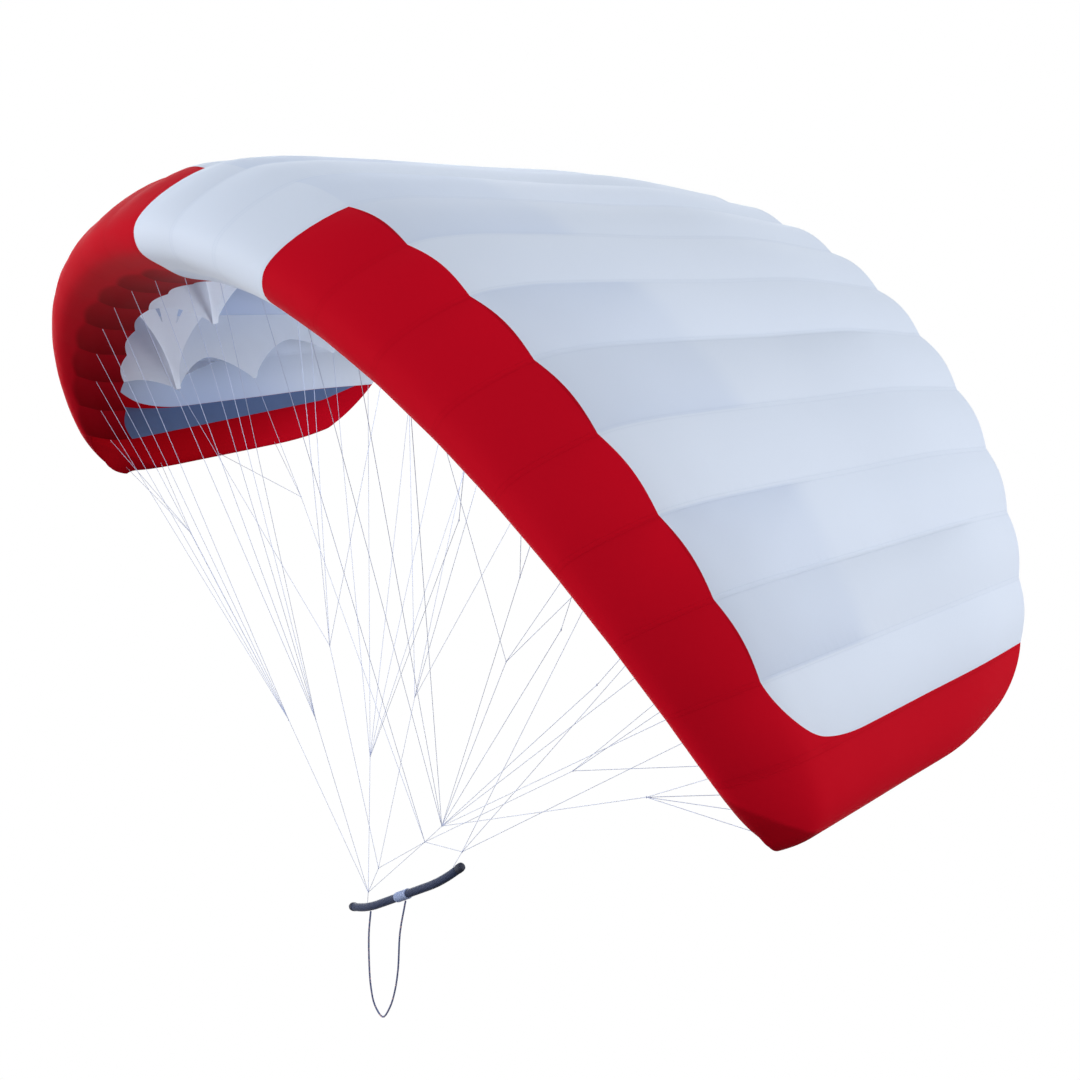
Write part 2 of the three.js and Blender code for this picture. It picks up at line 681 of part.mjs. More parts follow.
function addLineSet(set) {
  let solid = null;
  CASCADES.filter((row) => row.set === set).forEach((row) => {
    const join = new THREE.Vector3(...JOINS[row.join]);
    const knot = new THREE.OctahedronGeometry(KNOT_RADIUS, 1);
    knot.translate(join.x, join.y, join.z);
    const ends = [...row.tabs.map(tabPlace), footPlace(join, row)];
    const pieces = [knot, ...ends.map((end) => strand(join, end))].map(toSolid);
    pieces.forEach((piece) => {
      solid = solid ? solid.add(piece) : piece;
    });
  });
  addMesh(`lines_${set}`, toGeometry(solid), CORD);
}

class BarCurve extends THREE.Curve {
  getPoint(share) {
    return barPoint(mix(-BAR.length / 2, BAR.length / 2, share));
  }
}

function roundShape(diameter, hole) {
  const shape = new THREE.Shape();
  shape.absarc(0, 0, diameter / 2, 0, 2 * Math.PI, false);
  if (hole) {
    const path = new THREE.Path();
    path.absarc(0, 0, hole / 2, 0, 2 * Math.PI, true);
    shape.holes.push(path);
  }
  return shape;
}

function addBar() {
  const tube = new THREE.ExtrudeGeometry(roundShape(BAR.diameter), {
    steps: BAR_STEPS,
    curveSegments: ROUND_SIDES / 2,
    extrudePath: new BarCurve(),
  });
  addMesh('bar_tube', tube, CARBON);
  const sleeve = new THREE.ExtrudeGeometry(roundShape(SLEEVE.diameter, BAR.diameter + 2 * GAP), {
    depth: SLEEVE.length,
    bevelEnabled: false,
    curveSegments: ROUND_SIDES / 2,
  });
  sleeve.translate(0, 0, -SLEEVE.length / 2);
  const sleeveMesh = addMesh('bar_sleeve', sleeve, SLEEVE_GREY);
  const direction = barPoint(BAR.straight).normalize();
  sleeveMesh.quaternion.setFromUnitVectors(new THREE.Vector3(0, 0, 1), direction);
  [-1, 1].forEach((side) => {
    const end = barPoint(side * BAR.length / 2);
    const inner = barPoint(side * (BAR.length / 2 - CAP.taper));
    const out = end.clone().sub(inner).normalize();
    const [outerRadius, innerRadius] = [(CAP.diameter - CAP.taper) / 2, CAP.diameter / 2];
    const cap = new THREE.CylinderGeometry(outerRadius, innerRadius, CAP.length, ROUND_SIDES);
    const mesh = addMesh(`bar_cap_${sideName(side)}`, cap, RUBBER);
    mesh.quaternion.setFromUnitVectors(new THREE.Vector3(0, 1, 0), out);
    mesh.position.copy(end).addScaledVector(out, CAP.length / 2 + GAP);
  });
}

function addLoop() {
  const start = besideBar(BAR_ENDS.barLeft, -BAR.diameter / 2 - LOOP_CLEAR);
  const end = besideBar(0, -SLEEVE.diameter / 2 - LOOP_CLEAR);
  const route = [start, ...LOOP_MIDDLE.map((point) => new THREE.Vector3(...point)), end];
  const geometry = new THREE.ExtrudeGeometry(roundShape(LOOP_DIAMETER), {
    steps: LOOP_STEPS,
    curveSegments: LOOP_SIDES / 2,
    extrudePath: new THREE.CatmullRomCurve3(route, false, 'centripetal'),
  });
  addMesh('harness_loop', geometry, CORD);
}

addWhitePanel();
[-1, 1].forEach((side) => {
  addRedPanel(side);
  LOAD_RIBS.forEach((number) => {
    addLoadRib(number, side);
    addBrace(number, side, -1);
    addBrace(number, side, 1);
  });
  NOSE_RIBS.forEach((number) => addNoseRib(number, side));
  addClosedRib(side);
});
new Set(CASCADES.map((row) => row.set)).forEach(addLineSet);
addBar();
addLoop();

export default parawing;
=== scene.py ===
# %% [markdown]
# # A parawing in flight
# A parawing is a soft wing with one skin. The flyer holds it by a short bar, and a fan of thin lines
# carries the pull from the ribs down to that bar. This lesson dresses the plain solids of such a wing:
# curved cloth, flat ribs, slanted braces, lines, a carbon bar and a cord loop.
#
# Every size is in metres and in the frame of the solids, whose origin is the middle of the bar's grip,
# so a piece is made where it belongs and is never moved afterwards.

# %% Load the solids
import math

import bmesh
import bpy
import numpy as np
from mathutils import Matrix, Vector


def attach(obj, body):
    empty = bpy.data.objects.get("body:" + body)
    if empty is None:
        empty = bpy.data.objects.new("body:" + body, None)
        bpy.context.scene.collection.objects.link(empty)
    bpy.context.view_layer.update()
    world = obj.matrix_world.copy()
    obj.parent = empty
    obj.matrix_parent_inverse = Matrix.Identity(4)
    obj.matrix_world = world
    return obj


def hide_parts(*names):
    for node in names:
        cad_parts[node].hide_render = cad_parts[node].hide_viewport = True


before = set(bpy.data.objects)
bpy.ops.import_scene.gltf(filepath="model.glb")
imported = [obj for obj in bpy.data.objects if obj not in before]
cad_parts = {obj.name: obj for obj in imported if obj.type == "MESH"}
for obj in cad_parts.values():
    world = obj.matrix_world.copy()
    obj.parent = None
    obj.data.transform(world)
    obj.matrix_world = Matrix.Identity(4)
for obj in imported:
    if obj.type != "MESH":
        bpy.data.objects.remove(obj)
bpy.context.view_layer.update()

# %% [markdown]
# ## The camera
# A camera that was solved from the photograph is described by three directions, a place and a focal
# length. The directions become the columns of a rotation, so no angles have to be guessed. The picture
# was cropped off centre, which the lens shift takes up.

# %% Camera
CAMERA_PLACE = (3.6297, -2.1599, 2.6683)
CAMERA_RIGHT = (0.58197, 0.81167, -0.05008)
CAMERA_UP = (-0.26960, 0.25067, 0.92977)
CAMERA_BACK = (0.76722, -0.52760, 0.36471)
CAMERA_LENS = 63.0
CAMERA_SHIFT = (0.0462, -0.0143)

camera_data = bpy.data.cameras.new("camera")
camera_data.lens = CAMERA_LENS
camera_data.sensor_width = 36
camera_data.shift_x, camera_data.shift_y = CAMERA_SHIFT
camera = bpy.data.objects.new("camera", camera_data)
turn = Matrix((CAMERA_RIGHT, CAMERA_UP, CAMERA_BACK)).transposed()
camera.matrix_world = Matrix.Translation(CAMERA_PLACE) @ turn.to_4x4()
bpy.context.scene.collection.objects.link(camera)
bpy.context.scene.camera = camera
print("camera", tuple(camera.location))

# %% [markdown]
# ## Curves through points
# The wing's section and the hanging loop are both smooth curves through a few points. Blender has no
# Python call for such a curve outside its own curve objects, so here is a small one. It is the
# centripetal kind, whose steps follow the distance between points, so it never loops or overshoots.

# %% A smooth curve through points
def smooth_curve(points, steps):
    """Points along a centripetal Catmull-Rom curve, with so many steps between neighbours."""
    points = np.asarray(points, float)
    first = 2 * points[0] - points[1]
    last = 2 * points[-1] - points[-2]
    padded = np.vstack([first, points, last])
    share = np.linspace(0, 1, steps, endpoint=False)[:, None]
    made = []
    for p0, p1, p2, p3 in zip(padded, padded[1:], padded[2:], padded[3:]):
        before, here, after = (np.linalg.norm(b - a) ** 0.5 for a, b in ((p0, p1), (p1, p2), (p2, p3)))
        start = here * ((p1 - p0) / before - (p2 - p0) / (before + here) + (p2 - p1) / here)
        end = here * ((p2 - p1) / here - (p3 - p1) / (here + after) + (p3 - p2) / after)
        bend = -3 * p1 + 3 * p2 - 2 * start - end
        twist = 2 * p1 - 2 * p2 + start + end
        made.append(p1 + start * share + bend * share ** 2 + twist * share ** 3)
    return np.vstack([*made, points[-1:]])


def smooth_step(value, low, high):
    share = np.clip((value - low) / (high - low), 0, 1)
    return share * share * (3 - 2 * share)


def mix(a, b, share):
    return a + (b - a) * share


# %% [markdown]
# ## The bar's line and the harness loop
# Free cords come first, because a cord's real length has to be right before anything is judged by eye.
# The loop leaves the bar under the left line, hangs down and comes back up to the sleeve. The bar is a
# straight tube with swept ends, and it is held turned, tilted and rolled, so its line is bent first and
# then rotated as a whole.

# %% The bar's centre line
BAR_LENGTH, BAR_DIAMETER = 0.580, 0.022
BAR_STRAIGHT, BAR_SWEEP = 0.140, 0.017
BAR_YAW, BAR_TILT, BAR_ROLL = math.radians(4.1), math.radians(34.7), math.radians(-36.7)
SLEEVE_LENGTH, SLEEVE_DIAMETER = 0.062, 0.027
CAP_LENGTH = 0.022
LEFT_LINE, RIGHT_LINE = -0.199, 0.280
bar_turn = Matrix.Rotation(BAR_YAW, 3, "Z") @ Matrix.Rotation(-BAR_TILT, 3, "Y")
bar_turn = bar_turn @ Matrix.Rotation(BAR_ROLL, 3, "X")


def bar_point(along, out=0.0):
    """A place on the bar's line, or so far above it, or below it where out is negative."""
    past = max(abs(along) - BAR_STRAIGHT, 0) / (BAR_LENGTH / 2 - BAR_STRAIGHT)
    slope = 2 * BAR_SWEEP * past / (BAR_LENGTH / 2 - BAR_STRAIGHT) * math.copysign(1, along)
    tangent = bar_turn @ Vector((1, 0, slope)).normalized()
    rise = Vector((0, 0, 1))
    rise = (rise - tangent * rise.dot(tangent)).normalized()
    return bar_turn @ Vector((along, 0, BAR_SWEEP * past ** 2)) + rise * out


print("bar from", bar_point(-BAR_LENGTH / 2), "to", bar_point(BAR_LENGTH / 2))

# %% The harness loop
LOOP_DIAMETER = 0.005
LOOP_CLEAR = 0.0026
LOOP_MIDDLE = [
    (-0.176, -0.011, -0.200),
    (-0.187, -0.012, -0.300),
    (-0.189, -0.012, -0.380),
    (-0.178, -0.011, -0.433),
    (-0.147, -0.009, -0.455),
    (-0.106, -0.007, -0.405),
    (-0.073, -0.005, -0.332),
    (-0.050, -0.003, -0.250),
    (-0.028, -0.002, -0.130),
]


def curve_object(name, lines, radius, sides=2):
    """A round tube along each list of points. Its bevel of 1 m is scaled down by each point's radius."""
    data = bpy.data.curves.new(name, "CURVE")
    data.dimensions = "3D"
    data.bevel_depth = 1.0
    data.bevel_resolution = sides
    data.use_fill_caps = True
    for points in lines:
        spline = data.splines.new("POLY")
        spline.points.add(len(points) - 1)
        for place, point in zip(spline.points, points):
            place.co = (*point, 1)
            place.radius = radius
    made = bpy.data.objects.new(name, data)
    bpy.context.scene.collection.objects.link(made)
    return made


loop_start = bar_point(LEFT_LINE, -BAR_DIAMETER / 2 - LOOP_CLEAR)
loop_end = bar_point(0, -SLEEVE_DIAMETER / 2 - LOOP_CLEAR)
loop_path = smooth_curve([loop_start, *LOOP_MIDDLE, loop_end], 4)
loop = curve_object("loop_cord", [loop_path], LOOP_DIAMETER / 2, 4)
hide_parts("harness_loop")
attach(loop, "root")

# %% [markdown]
# ## The wing's shape
# A wing is easiest to describe twice over: a section, which is the same for every rib, and a seam
# line, along which the ribs stand. A point of the cloth then has two numbers. The station counts cells
# from the middle, with the ribs halfway between whole numbers, and the spot counts along the section
# from its lower edge, round the nose, to the trailing edge. The section's third column is the swell:
# how far the cloth stands out halfway between two ribs. It is next to nothing on the tight round nose
# and grows toward the trailing edge. Past the last rib the section turns down and shrinks into a tip
# panel. Its edge is rounded at the front and at the rear, where a sewn corner never stays sharp.

# %% Sizes of the wing
ROOT_CHORD, CELL_WIDTH, CELL_TAPER = 1.483, 0.188, 0.38
CHORD_LOSS, CHORD_POWER = 0.445, 2.23
NOSE_SWEEP, SWEEP_POWER = 0.309, 2.2
TWIST_ROOT, TWIST_TIP = -0.028, -0.034
ARCH, ARCH_TIP = 1.144, 0.119
LAST_STATION, TIP_RIB = 10.5, 9.5
WING_BACK, WING_RISE = -0.405, 1.684
SECTION = [
    {"spot": "lower edge", "back": 0.141, "up": -0.026, "swell": 0.0006},
    {"spot": "front line", "back": 0.0764, "up": -0.0095, "swell": 0.0006},
    {"spot": "lip", "back": 0.0428, "up": 0.0117, "swell": 0.0006},
    {"spot": "chin", "back": 0.0072, "up": 0.0427, "swell": 0.0006},
    {"spot": "nose", "back": 0.005, "up": 0.078, "swell": 0.0006},
    {"spot": "brow", "back": 0.0405, "up": 0.1125, "swell": 0.0025},
    {"spot": "colour seam", "back": 0.1393, "up": 0.1523, "swell": 0.0051},
    {"spot": "crest", "back": 0.22, "up": 0.1537, "swell": 0.0057},
    {"spot": "shoulder", "back": 0.36, "up": 0.1337, "swell": 0.0063},
    {"spot": "middle", "back": 0.6, "up": 0.0901, "swell": 0.0076},
    {"spot": "rear", "back": 0.8, "up": 0.056, "swell": 0.008},
    {"spot": "tail", "back": 1.0, "up": 0.0, "swell": 0.0081},
]
FRONT_SPOT, BROW_SPOT, SEAM_SPOT, SHOULDER_SPOT, TAIL_SPOT = 1, 5, 6, 8, len(SECTION) - 1
SEAM_RIB, CORNER_RIB, CORNER_SPOTS = 1.5, 8.5, 2.0
SEAM_SCALLOP, LOWER_SCALLOP = 0.06, 0.15

# %% Sizes of the tips
TIP_THIN, THIN_START = {"left": 0.45, "right": 0.1}, 7.5
TIP_REACH, TIP_CORNER, TIP_TAIL = 1.394, 0.122, 0.11
TIP_CENTRE_BACK, TIP_CENTRE_UP, TIP_SHRINK = 0.139, -0.036, 0.394
REAR_ROUND, REAR_START = 2.2, 0.78
LIP_SHARE, LIP_SPOT, LIP_REACH = 0.3, 3.8, 60 / 90
LIP_ROUND, LIP_START = 1.3, 0.35

# %% The seam line and the section
CURVE_STEPS = 60
WALK_STEPS = 16
section_curve = smooth_curve([(row["back"], row["up"], row["swell"]) for row in SECTION], CURVE_STEPS)
section_spots = np.linspace(0, TAIL_SPOT, len(section_curve))
section_slope = np.gradient(section_curve, section_spots, axis=0)

walk = (np.arange(1, (LAST_STATION + 1) * WALK_STEPS + 1) - 0.5) / WALK_STEPS
walk_share = np.minimum(walk / LAST_STATION, 1)
walk_step = CELL_WIDTH * (1 - CELL_TAPER * walk_share ** 2) / WALK_STEPS
walk_tilt = ARCH * walk_share + ARCH_TIP * walk_share ** 3
seam_x = np.concatenate([[0], np.cumsum(walk_step * np.cos(walk_tilt))])
seam_z = np.concatenate([[0], -np.cumsum(walk_step * np.sin(walk_tilt))])
print("seam line reaches", round(seam_x[-1], 3), "m out and", round(-seam_z[-1], 3), "m down")


# %% Places on the wing
def wing_frame(station):
    """Origin, chord direction, up direction, span direction and chord at a station."""
    station = np.asarray(station, float)
    side = np.where(station < 0, -1.0, 1.0)
    size = np.abs(station)
    share = np.minimum(size / LAST_STATION, 1)
    tilt = side * (ARCH * share + ARCH_TIP * share ** 3)
    twist = TWIST_ROOT + TWIST_TIP * share ** 2
    chord = ROOT_CHORD * (1 - CHORD_LOSS * share ** CHORD_POWER)
    steps = np.arange(len(seam_x)) / WALK_STEPS
    origin = np.stack([
        side * np.interp(size, steps, seam_x),
        WING_BACK + NOSE_SWEEP * share ** SWEEP_POWER,
        WING_RISE + np.interp(size, steps, seam_z),
    ], -1)
    normal = np.stack([np.sin(tilt), 0 * tilt, np.cos(tilt)], -1)
    aft = np.array([0.0, 1.0, 0.0])
    cos, sin = np.cos(twist)[..., None], np.sin(twist)[..., None]
    along = aft * cos + normal * sin
    up = normal * cos - aft * sin
    return origin, along, up, np.cross(along, up), chord


def at_place(station, back, up):
    """A point given in parts of the chord, back from the nose line and up from the chord line."""
    origin, along, rise, _, chord = wing_frame(station)
    back, up, chord = np.asarray(back)[..., None], np.asarray(up)[..., None], chord[..., None]
    return origin + along * chord * back + rise * chord * up


def section_at(spot):
    """Back, up and swell of the section, and its outward direction, at a spot."""
    spot = np.clip(spot, 0, TAIL_SPOT)
    back, up, swell = (np.interp(spot, section_spots, section_curve[:, k]) for k in range(3))
    run, rise = (np.interp(spot, section_spots, section_slope[:, k]) for k in range(2))
    length = np.hypot(run, rise)
    return back, up, swell, -rise / length, run / length


def rear_share(spot):
    return smooth_step(spot, BROW_SPOT, SHOULDER_SPOT)


def section_of(station, spot):
    """The section of one station. Its rear gets thinner toward the tips."""
    back, up, swell, out_back, out_up = section_at(spot)
    thin = np.where(np.less(station, 0), TIP_THIN["left"], TIP_THIN["right"])
    tip_share = smooth_step(np.abs(station), THIN_START, TIP_RIB)
    return back, up * (1 - thin * tip_share * rear_share(spot)), swell, out_back, out_up


def spot_at_back(back):
    upper = section_spots >= BROW_SPOT
    return np.interp(back, section_curve[upper, 0], section_spots[upper])


# %% Points of the cloth
NORMAL_REACH = 0.04


def cell_share(station):
    """0 at each rib and 1 halfway between two."""
    return np.sin(math.pi * np.mod(np.abs(station) + 0.5, 1))


def cloth_point(station, spot):
    """The cloth's outer side. Past the tip rib the section turns down and shrinks toward its edge."""
    station, spot = np.broadcast_arrays(np.asarray(station, float), np.asarray(spot, float))
    size = np.abs(station)
    is_tip = size > TIP_RIB
    back, up, swell, out_back, out_up = section_of(station, spot)
    angle = np.clip(size - TIP_RIB, 0, 1) * math.pi / 2
    shrink = mix(TIP_SHRINK, 1, np.cos(angle))
    reach = TIP_REACH - TIP_CORNER * back - REAR_ROUND * np.clip(back / REAR_START - 1, 0, 1) ** 2
    nose_back = mix(TIP_CENTRE_BACK, back, shrink)
    rear_back = back * (1 - TIP_TAIL * (1 - np.cos(angle)))
    swell = np.where(is_tip, 0, swell * cell_share(station))
    place = np.where(is_tip, np.sign(station) * (TIP_RIB + reach * np.sin(angle)), station)
    back = mix(nose_back, rear_back, rear_share(spot)) + out_back * swell
    return at_place(place, back, mix(TIP_CENTRE_UP, up, shrink) + out_up * swell)


def cloth_normal(station, spot):
    limit = TIP_RIB + 1
    after = cloth_point(np.minimum(station + NORMAL_REACH, limit), spot)
    before = cloth_point(np.maximum(station - NORMAL_REACH, -limit), spot)
    behind = cloth_point(station, np.minimum(np.add(spot, NORMAL_REACH), TAIL_SPOT))
    ahead = cloth_point(station, np.maximum(np.subtract(spot, NORMAL_REACH), 0))
    normal = np.cross(after - before, behind - ahead)
    return normal / np.linalg.norm(normal, axis=-1, keepdims=True)


print("crown", cloth_point(0.0, SEAM_SPOT + 1), "tip", cloth_point(TIP_RIB + 1, SEAM_SPOT))

# %% [markdown]
# ## Shader maths as Python
# A material is a small program, and written as one it reads like the sum that it is. The class below
# wraps one socket. Adding or multiplying two of them adds a Math node and gives back its result, so
# `1 - seam * 0.2` is a chain of nodes. Everything else comes from one method that takes a node's type,
# its settings and the values of its sockets.

# %% Sockets that can be added and multiplied
class Value:
    """A socket of numbers. Sums, products and powers of it add Math nodes."""

    def __init__(self, nodes, socket):
        self.nodes, self.socket = nodes, socket

    def join(self, operation, first, second=0.0):
        return self.nodes.add("ShaderNodeMath", {"operation": operation}, {0: first, 1: second})

    def __add__(self, other):
        return self.join("ADD", self, other)

    def __sub__(self, other):
        return self.join("SUBTRACT", self, other)

    def __rsub__(self, other):
        return self.join("SUBTRACT", other, self)

    def __mul__(self, other):
        return self.join("MULTIPLY", self, other)

    def __truediv__(self, other):
        return self.join("DIVIDE", self, other)

    def __pow__(self, other):
        return self.join("POWER", self, other)

    __radd__ = __add__
    __rmul__ = __mul__

    def part(self):
        return self.join("FRACT", self)

    def size(self):
        return self.join("ABSOLUTE", self)

    def least(self, other):
        return self.join("MINIMUM", self, other)

    def most(self, other):
        return self.join("MAXIMUM", self, other)

    def below(self, edge, soft):
        """1 where the value is under the edge, falling to 0 over a soft width."""
        reach = {"From Min": edge - soft, "From Max": edge + soft, "To Min": 1.0, "To Max": 0.0}
        kind = {"interpolation_type": "SMOOTHSTEP"}
        return self.nodes.add("ShaderNodeMapRange", kind, {"Value": self, **reach})


class Nodes:
    """The nodes of one material or world."""

    def __init__(self, owner):
        owner.use_nodes = True
        self.owner, self.tree = owner, owner.node_tree

    def add(self, kind, settings=None, sockets=None, output=0):
        made = self.tree.nodes.new(kind)
        for name, value in (settings or {}).items():
            setattr(made, name, value)
        for name, value in (sockets or {}).items():
            self.feed(made.inputs[name], value)
        return Value(self, made.outputs[output])

    def feed(self, socket, value):
        if isinstance(value, Value):
            self.tree.links.new(value.socket, socket)
        else:
            socket.default_value = value

    def blend(self, share, first, second):
        """A colour between two others."""
        return self.add("ShaderNodeMix", {"data_type": "RGBA"}, {0: share, 6: first, 7: second}, 2)

    def shader(self, **sockets):
        """Sets the material's own shader and gives it back."""
        principled = self.tree.nodes["Principled BSDF"]
        for name, value in sockets.items():
            self.feed(principled.inputs[name.replace("_", " ")], value)
        return Value(self, principled.outputs[0])

    def bump(self, height, distance, strength=1.0):
        sockets = {"Height": height, "Distance": distance, "Strength": strength}
        return self.add("ShaderNodeBump", None, sockets)


def new_material(name):
    return Nodes(bpy.data.materials.new(name))


def linear(red, green, blue):
    """A colour from the 0 to 255 numbers of a picture, as the light that a shader works with."""
    shares = [value / 255 for value in (red, green, blue)]
    light = [s / 12.92 if s <= 0.04045 else ((s + 0.055) / 1.055) ** 2.4 for s in shares]
    return (*light, 1.0)


# %% [markdown]
# ## Cloth that lets light through
# Wing cloth is thin coated nylon. It has a grid of thicker yarns 5 mm apart that stops rips, faint
# puckers where a seam gathers it, and stitches along each seam. Held against the sky, it lets part of
# the light through. A mix of the ordinary shader with a translucent one does that. The cloth's two
# texture coordinates are real lengths, so the yarns keep their size; on the skin the first one counts
# cells instead, so that seams and stitches can be found from it.

# %% Yarns, seams and stitches
MEAN_CELL = 0.165
YARN_SPACING, YARN_WIDTH, YARN_SOFT = 0.005, 0.0006, 0.1
SEAM_WIDTH, SEAM_SOFT, PUCKER_REACH = 0.008, 0.001, 0.03
STITCH_ROW, STITCH_LENGTH, STITCH_WIDTH, STITCH_SHARE = 0.0048, 0.004, 0.0006, 0.35


def yarn_lines(length):
    """1 along each thicker yarn, where the length is counted in metres across it."""
    from_yarn = ((length / YARN_SPACING).part() - 0.5).size()
    return from_yarn.below(YARN_WIDTH / YARN_SPACING, YARN_SOFT)


def seam_marks(nodes, across, along):
    """Masks of a skin's seams, their stitches and the puckers beside them. Half cells are seams."""
    from_seam = (0.5 - ((across + 0.5).part() - 0.5).size()) * MEAN_CELL
    row = (from_seam - STITCH_ROW).size().below(STITCH_WIDTH, STITCH_WIDTH / 2)
    stitches = row * ((along / STITCH_LENGTH).part() - 0.5).size().below(STITCH_SHARE, 0.05)
    gathers = nodes.add("ShaderNodeCombineXYZ", None, {0: across * 2.0, 1: along * 60.0})
    puckers = nodes.add("ShaderNodeTexNoise", None, {"Vector": gathers, "Scale": 1.0, "Detail": 1.0})
    puckers = puckers * from_seam.below(PUCKER_REACH, PUCKER_REACH)
    return from_seam.below(SEAM_WIDTH, SEAM_SOFT), stitches, puckers


# %% [markdown]
# ## Shade painted on the cloth
# The skin's inner side gets painted shade, darker and bluer than the outer side, most of all toward
# the nose. Ribs, braces and doubled cloth lie close under the skin beside each deep rib, and the shade
# they cast through the white is painted as a patch a few levels darker, with a sharp edge at the next
# seam. The cells of the nose's lower skin get painted shade too. Lamps alone gave too little of this,
# so a second pair of texture coordinates says where on the wing a point lies, and the tint follows it.

# %% The skin's shade
# Sizes of painted shade: patches beside the deep ribs, the inner side, and the nose's lower skin.
RIB_STEP, LAST_BRACE_SHADE, BRACE_SHADE_REAR, BRACE_SHADE_SHARE = 3.0, 9.0, 0.43, 0.42
INNER_SHADE_REAR, INNER_SHADE_SOFT = 0.68, 0.3
UNDER_REACH, UNDER_LEAST, UNDER_FOLD = 0.135, 0.35, 0.4
COLOUR_BACK = SECTION[SEAM_SPOT]["back"]


def shaded_skin(nodes, tint, across, along, inner_shade, shaded):
    """The skin's tint with painted shade: on the inner side, beside the deep ribs and on the lower skin.
    """
    place = nodes.add("ShaderNodeUVMap", {"uv_map": "place"})
    back = nodes.add("ShaderNodeSeparateXYZ", None, {0: place}, 1)
    # Painted shade: a darker patch in the cells beside each deep rib, darkest at the next seam.
    from_rib = ((across.size() / RIB_STEP).part() - 0.5) * RIB_STEP
    beside_rib = from_rib.size().below(1.0, 0.01) * across.size().below(LAST_BRACE_SHADE, 0.01)
    behind_seam = back.below(BRACE_SHADE_REAR, 0.03) * (1 - back.below(COLOUR_BACK, 0.001))
    brace_shade = beside_rib * behind_seam * (from_rib * from_rib * 0.5 + 0.5)
    tint = nodes.blend(brace_shade * BRACE_SHADE_SHARE, tint, shaded)
    # Painted shade: the inner side is darker and bluer, most of all toward the nose.
    is_inside = nodes.add("ShaderNodeNewGeometry", None, None, 6)
    tint = nodes.blend(is_inside * back.below(INNER_SHADE_REAR, INNER_SHADE_SOFT), tint, inner_shade)
    # Painted shade on the nose's lower skin, growing across each cell toward the next rib.
    under = along.below(UNDER_REACH, 0.01) * ((across.size() + 0.5).part() * UNDER_FOLD + UNDER_LEAST)
    return nodes.blend(under, tint, shaded)


# %% Cloth finishes
THROUGH_SHARE = 0.12


def cloth_finish(name, colour, seam_colour, through, gloss, inner_shade=None, shaded=None):
    """A cloth. Only a skin has two colours of painted shade, for its inner side and the rest, and only a
    skin has seams.
    """
    nodes = new_material(name)
    place = nodes.add("ShaderNodeUVMap", {"uv_map": "cloth"})
    across = nodes.add("ShaderNodeSeparateXYZ", None, {0: place})
    along = Value(nodes, across.socket.node.outputs[1])
    yarns = yarn_lines(across * MEAN_CELL if inner_shade else across).most(yarn_lines(along))
    crumple = nodes.add("ShaderNodeTexNoise", None, {"Scale": 9.0, "Detail": 3.0, "Roughness": 0.5})
    cloud = nodes.add("ShaderNodeTexNoise", None, {"Scale": 2.5, "Detail": 2.0})
    height = yarns * 0.05 + crumple * 1.2
    tint = nodes.blend((cloud - 0.5) * 0.3 + 0.1, colour, seam_colour)
    if inner_shade:
        seam, stitches, puckers = seam_marks(nodes, across, along)
        height = height + puckers * 0.5 - stitches * 0.3
        tint = nodes.blend((seam * 0.06 + stitches * 0.3).least(1.0), tint, seam_colour)
        tint = shaded_skin(nodes, tint, across, along, inner_shade, shaded)
    surface = nodes.shader(
        Base_Color=tint, Roughness=crumple * 0.12 + 0.49, Specular_IOR_Level=gloss,
        Normal=nodes.bump(height, 0.002, 0.5),
    )
    glow = nodes.add("ShaderNodeBsdfTranslucent", None, {"Color": through})
    both = nodes.add("ShaderNodeMixShader", None, {0: THROUGH_SHARE, 1: surface, 2: glow})
    nodes.feed(nodes.tree.nodes["Material Output"].inputs[0], both)
    return nodes.owner


# %% The colours of the cloth
WHITE, WHITE_DARK, WHITE_THROUGH = linear(226, 231, 243), linear(196, 206, 225), linear(215, 222, 238)
RED, RED_DARK, RED_THROUGH = linear(204, 12, 34), linear(180, 3, 24), linear(200, 10, 30)
# Colours of painted shade: the skin's inner side, and where cloth lies close under the skin.
WHITE_INNER_SHADE, RED_INNER_SHADE = linear(160, 176, 212), linear(152, 3, 12)
WHITE_SHADED, RED_SHADED = linear(200, 210, 232), linear(96, 2, 8)
# The blue rib colours are painted shade on the tip rib's white cloth.
RIB_WHITE, RIB_SHADE_BLUE, RIB_SHADE_BLUE_DARK = linear(226, 230, 238), linear(101, 120, 156), linear(88, 104, 138)
# The braces' white is painted brighter than the skin's, as painted light.
BRACE_LIT_WHITE, BRACE_LIT_THROUGH = linear(238, 242, 252), linear(226, 232, 246)
WHITE_GLOSS, RED_GLOSS, RIB_SHADE_GLOSS = 0.15, 0.009, 0.05

skin_white = cloth_finish(
    "skin_white", WHITE, WHITE_DARK, WHITE_THROUGH, WHITE_GLOSS, WHITE_INNER_SHADE, WHITE_SHADED
)
skin_red = cloth_finish("skin_red", RED, RED_DARK, RED_THROUGH, RED_GLOSS, RED_INNER_SHADE, RED_SHADED)
rib_white = cloth_finish("rib_white", RIB_WHITE, WHITE_DARK, WHITE_THROUGH, WHITE_GLOSS)
rib_red = cloth_finish("rib_red", RED, RED_DARK, RED_THROUGH, RED_GLOSS)
# The tip rib is white cloth, painted deep blue as the shade it lies in.
rib_shaded = cloth_finish("rib_shaded", RIB_SHADE_BLUE, RIB_SHADE_BLUE_DARK, RIB_SHADE_BLUE, RIB_SHADE_GLOSS)
# Braces are the skin's white cloth with painted light.
brace_lit_white = cloth_finish("brace_lit_white", BRACE_LIT_WHITE, WHITE, BRACE_LIT_THROUGH, WHITE_GLOSS)
print("cloth finishes made")

# %% [markdown]
# ## Sheets from a grid of points
# Sewn cloth is a grid at heart: one way along the seams and one way across them. So each piece here is
# an array of points with a number of columns and rows, made with numpy in one go, and a mesh is built
# from the squares that are kept. Each piece also carries its two coordinates in real lengths.

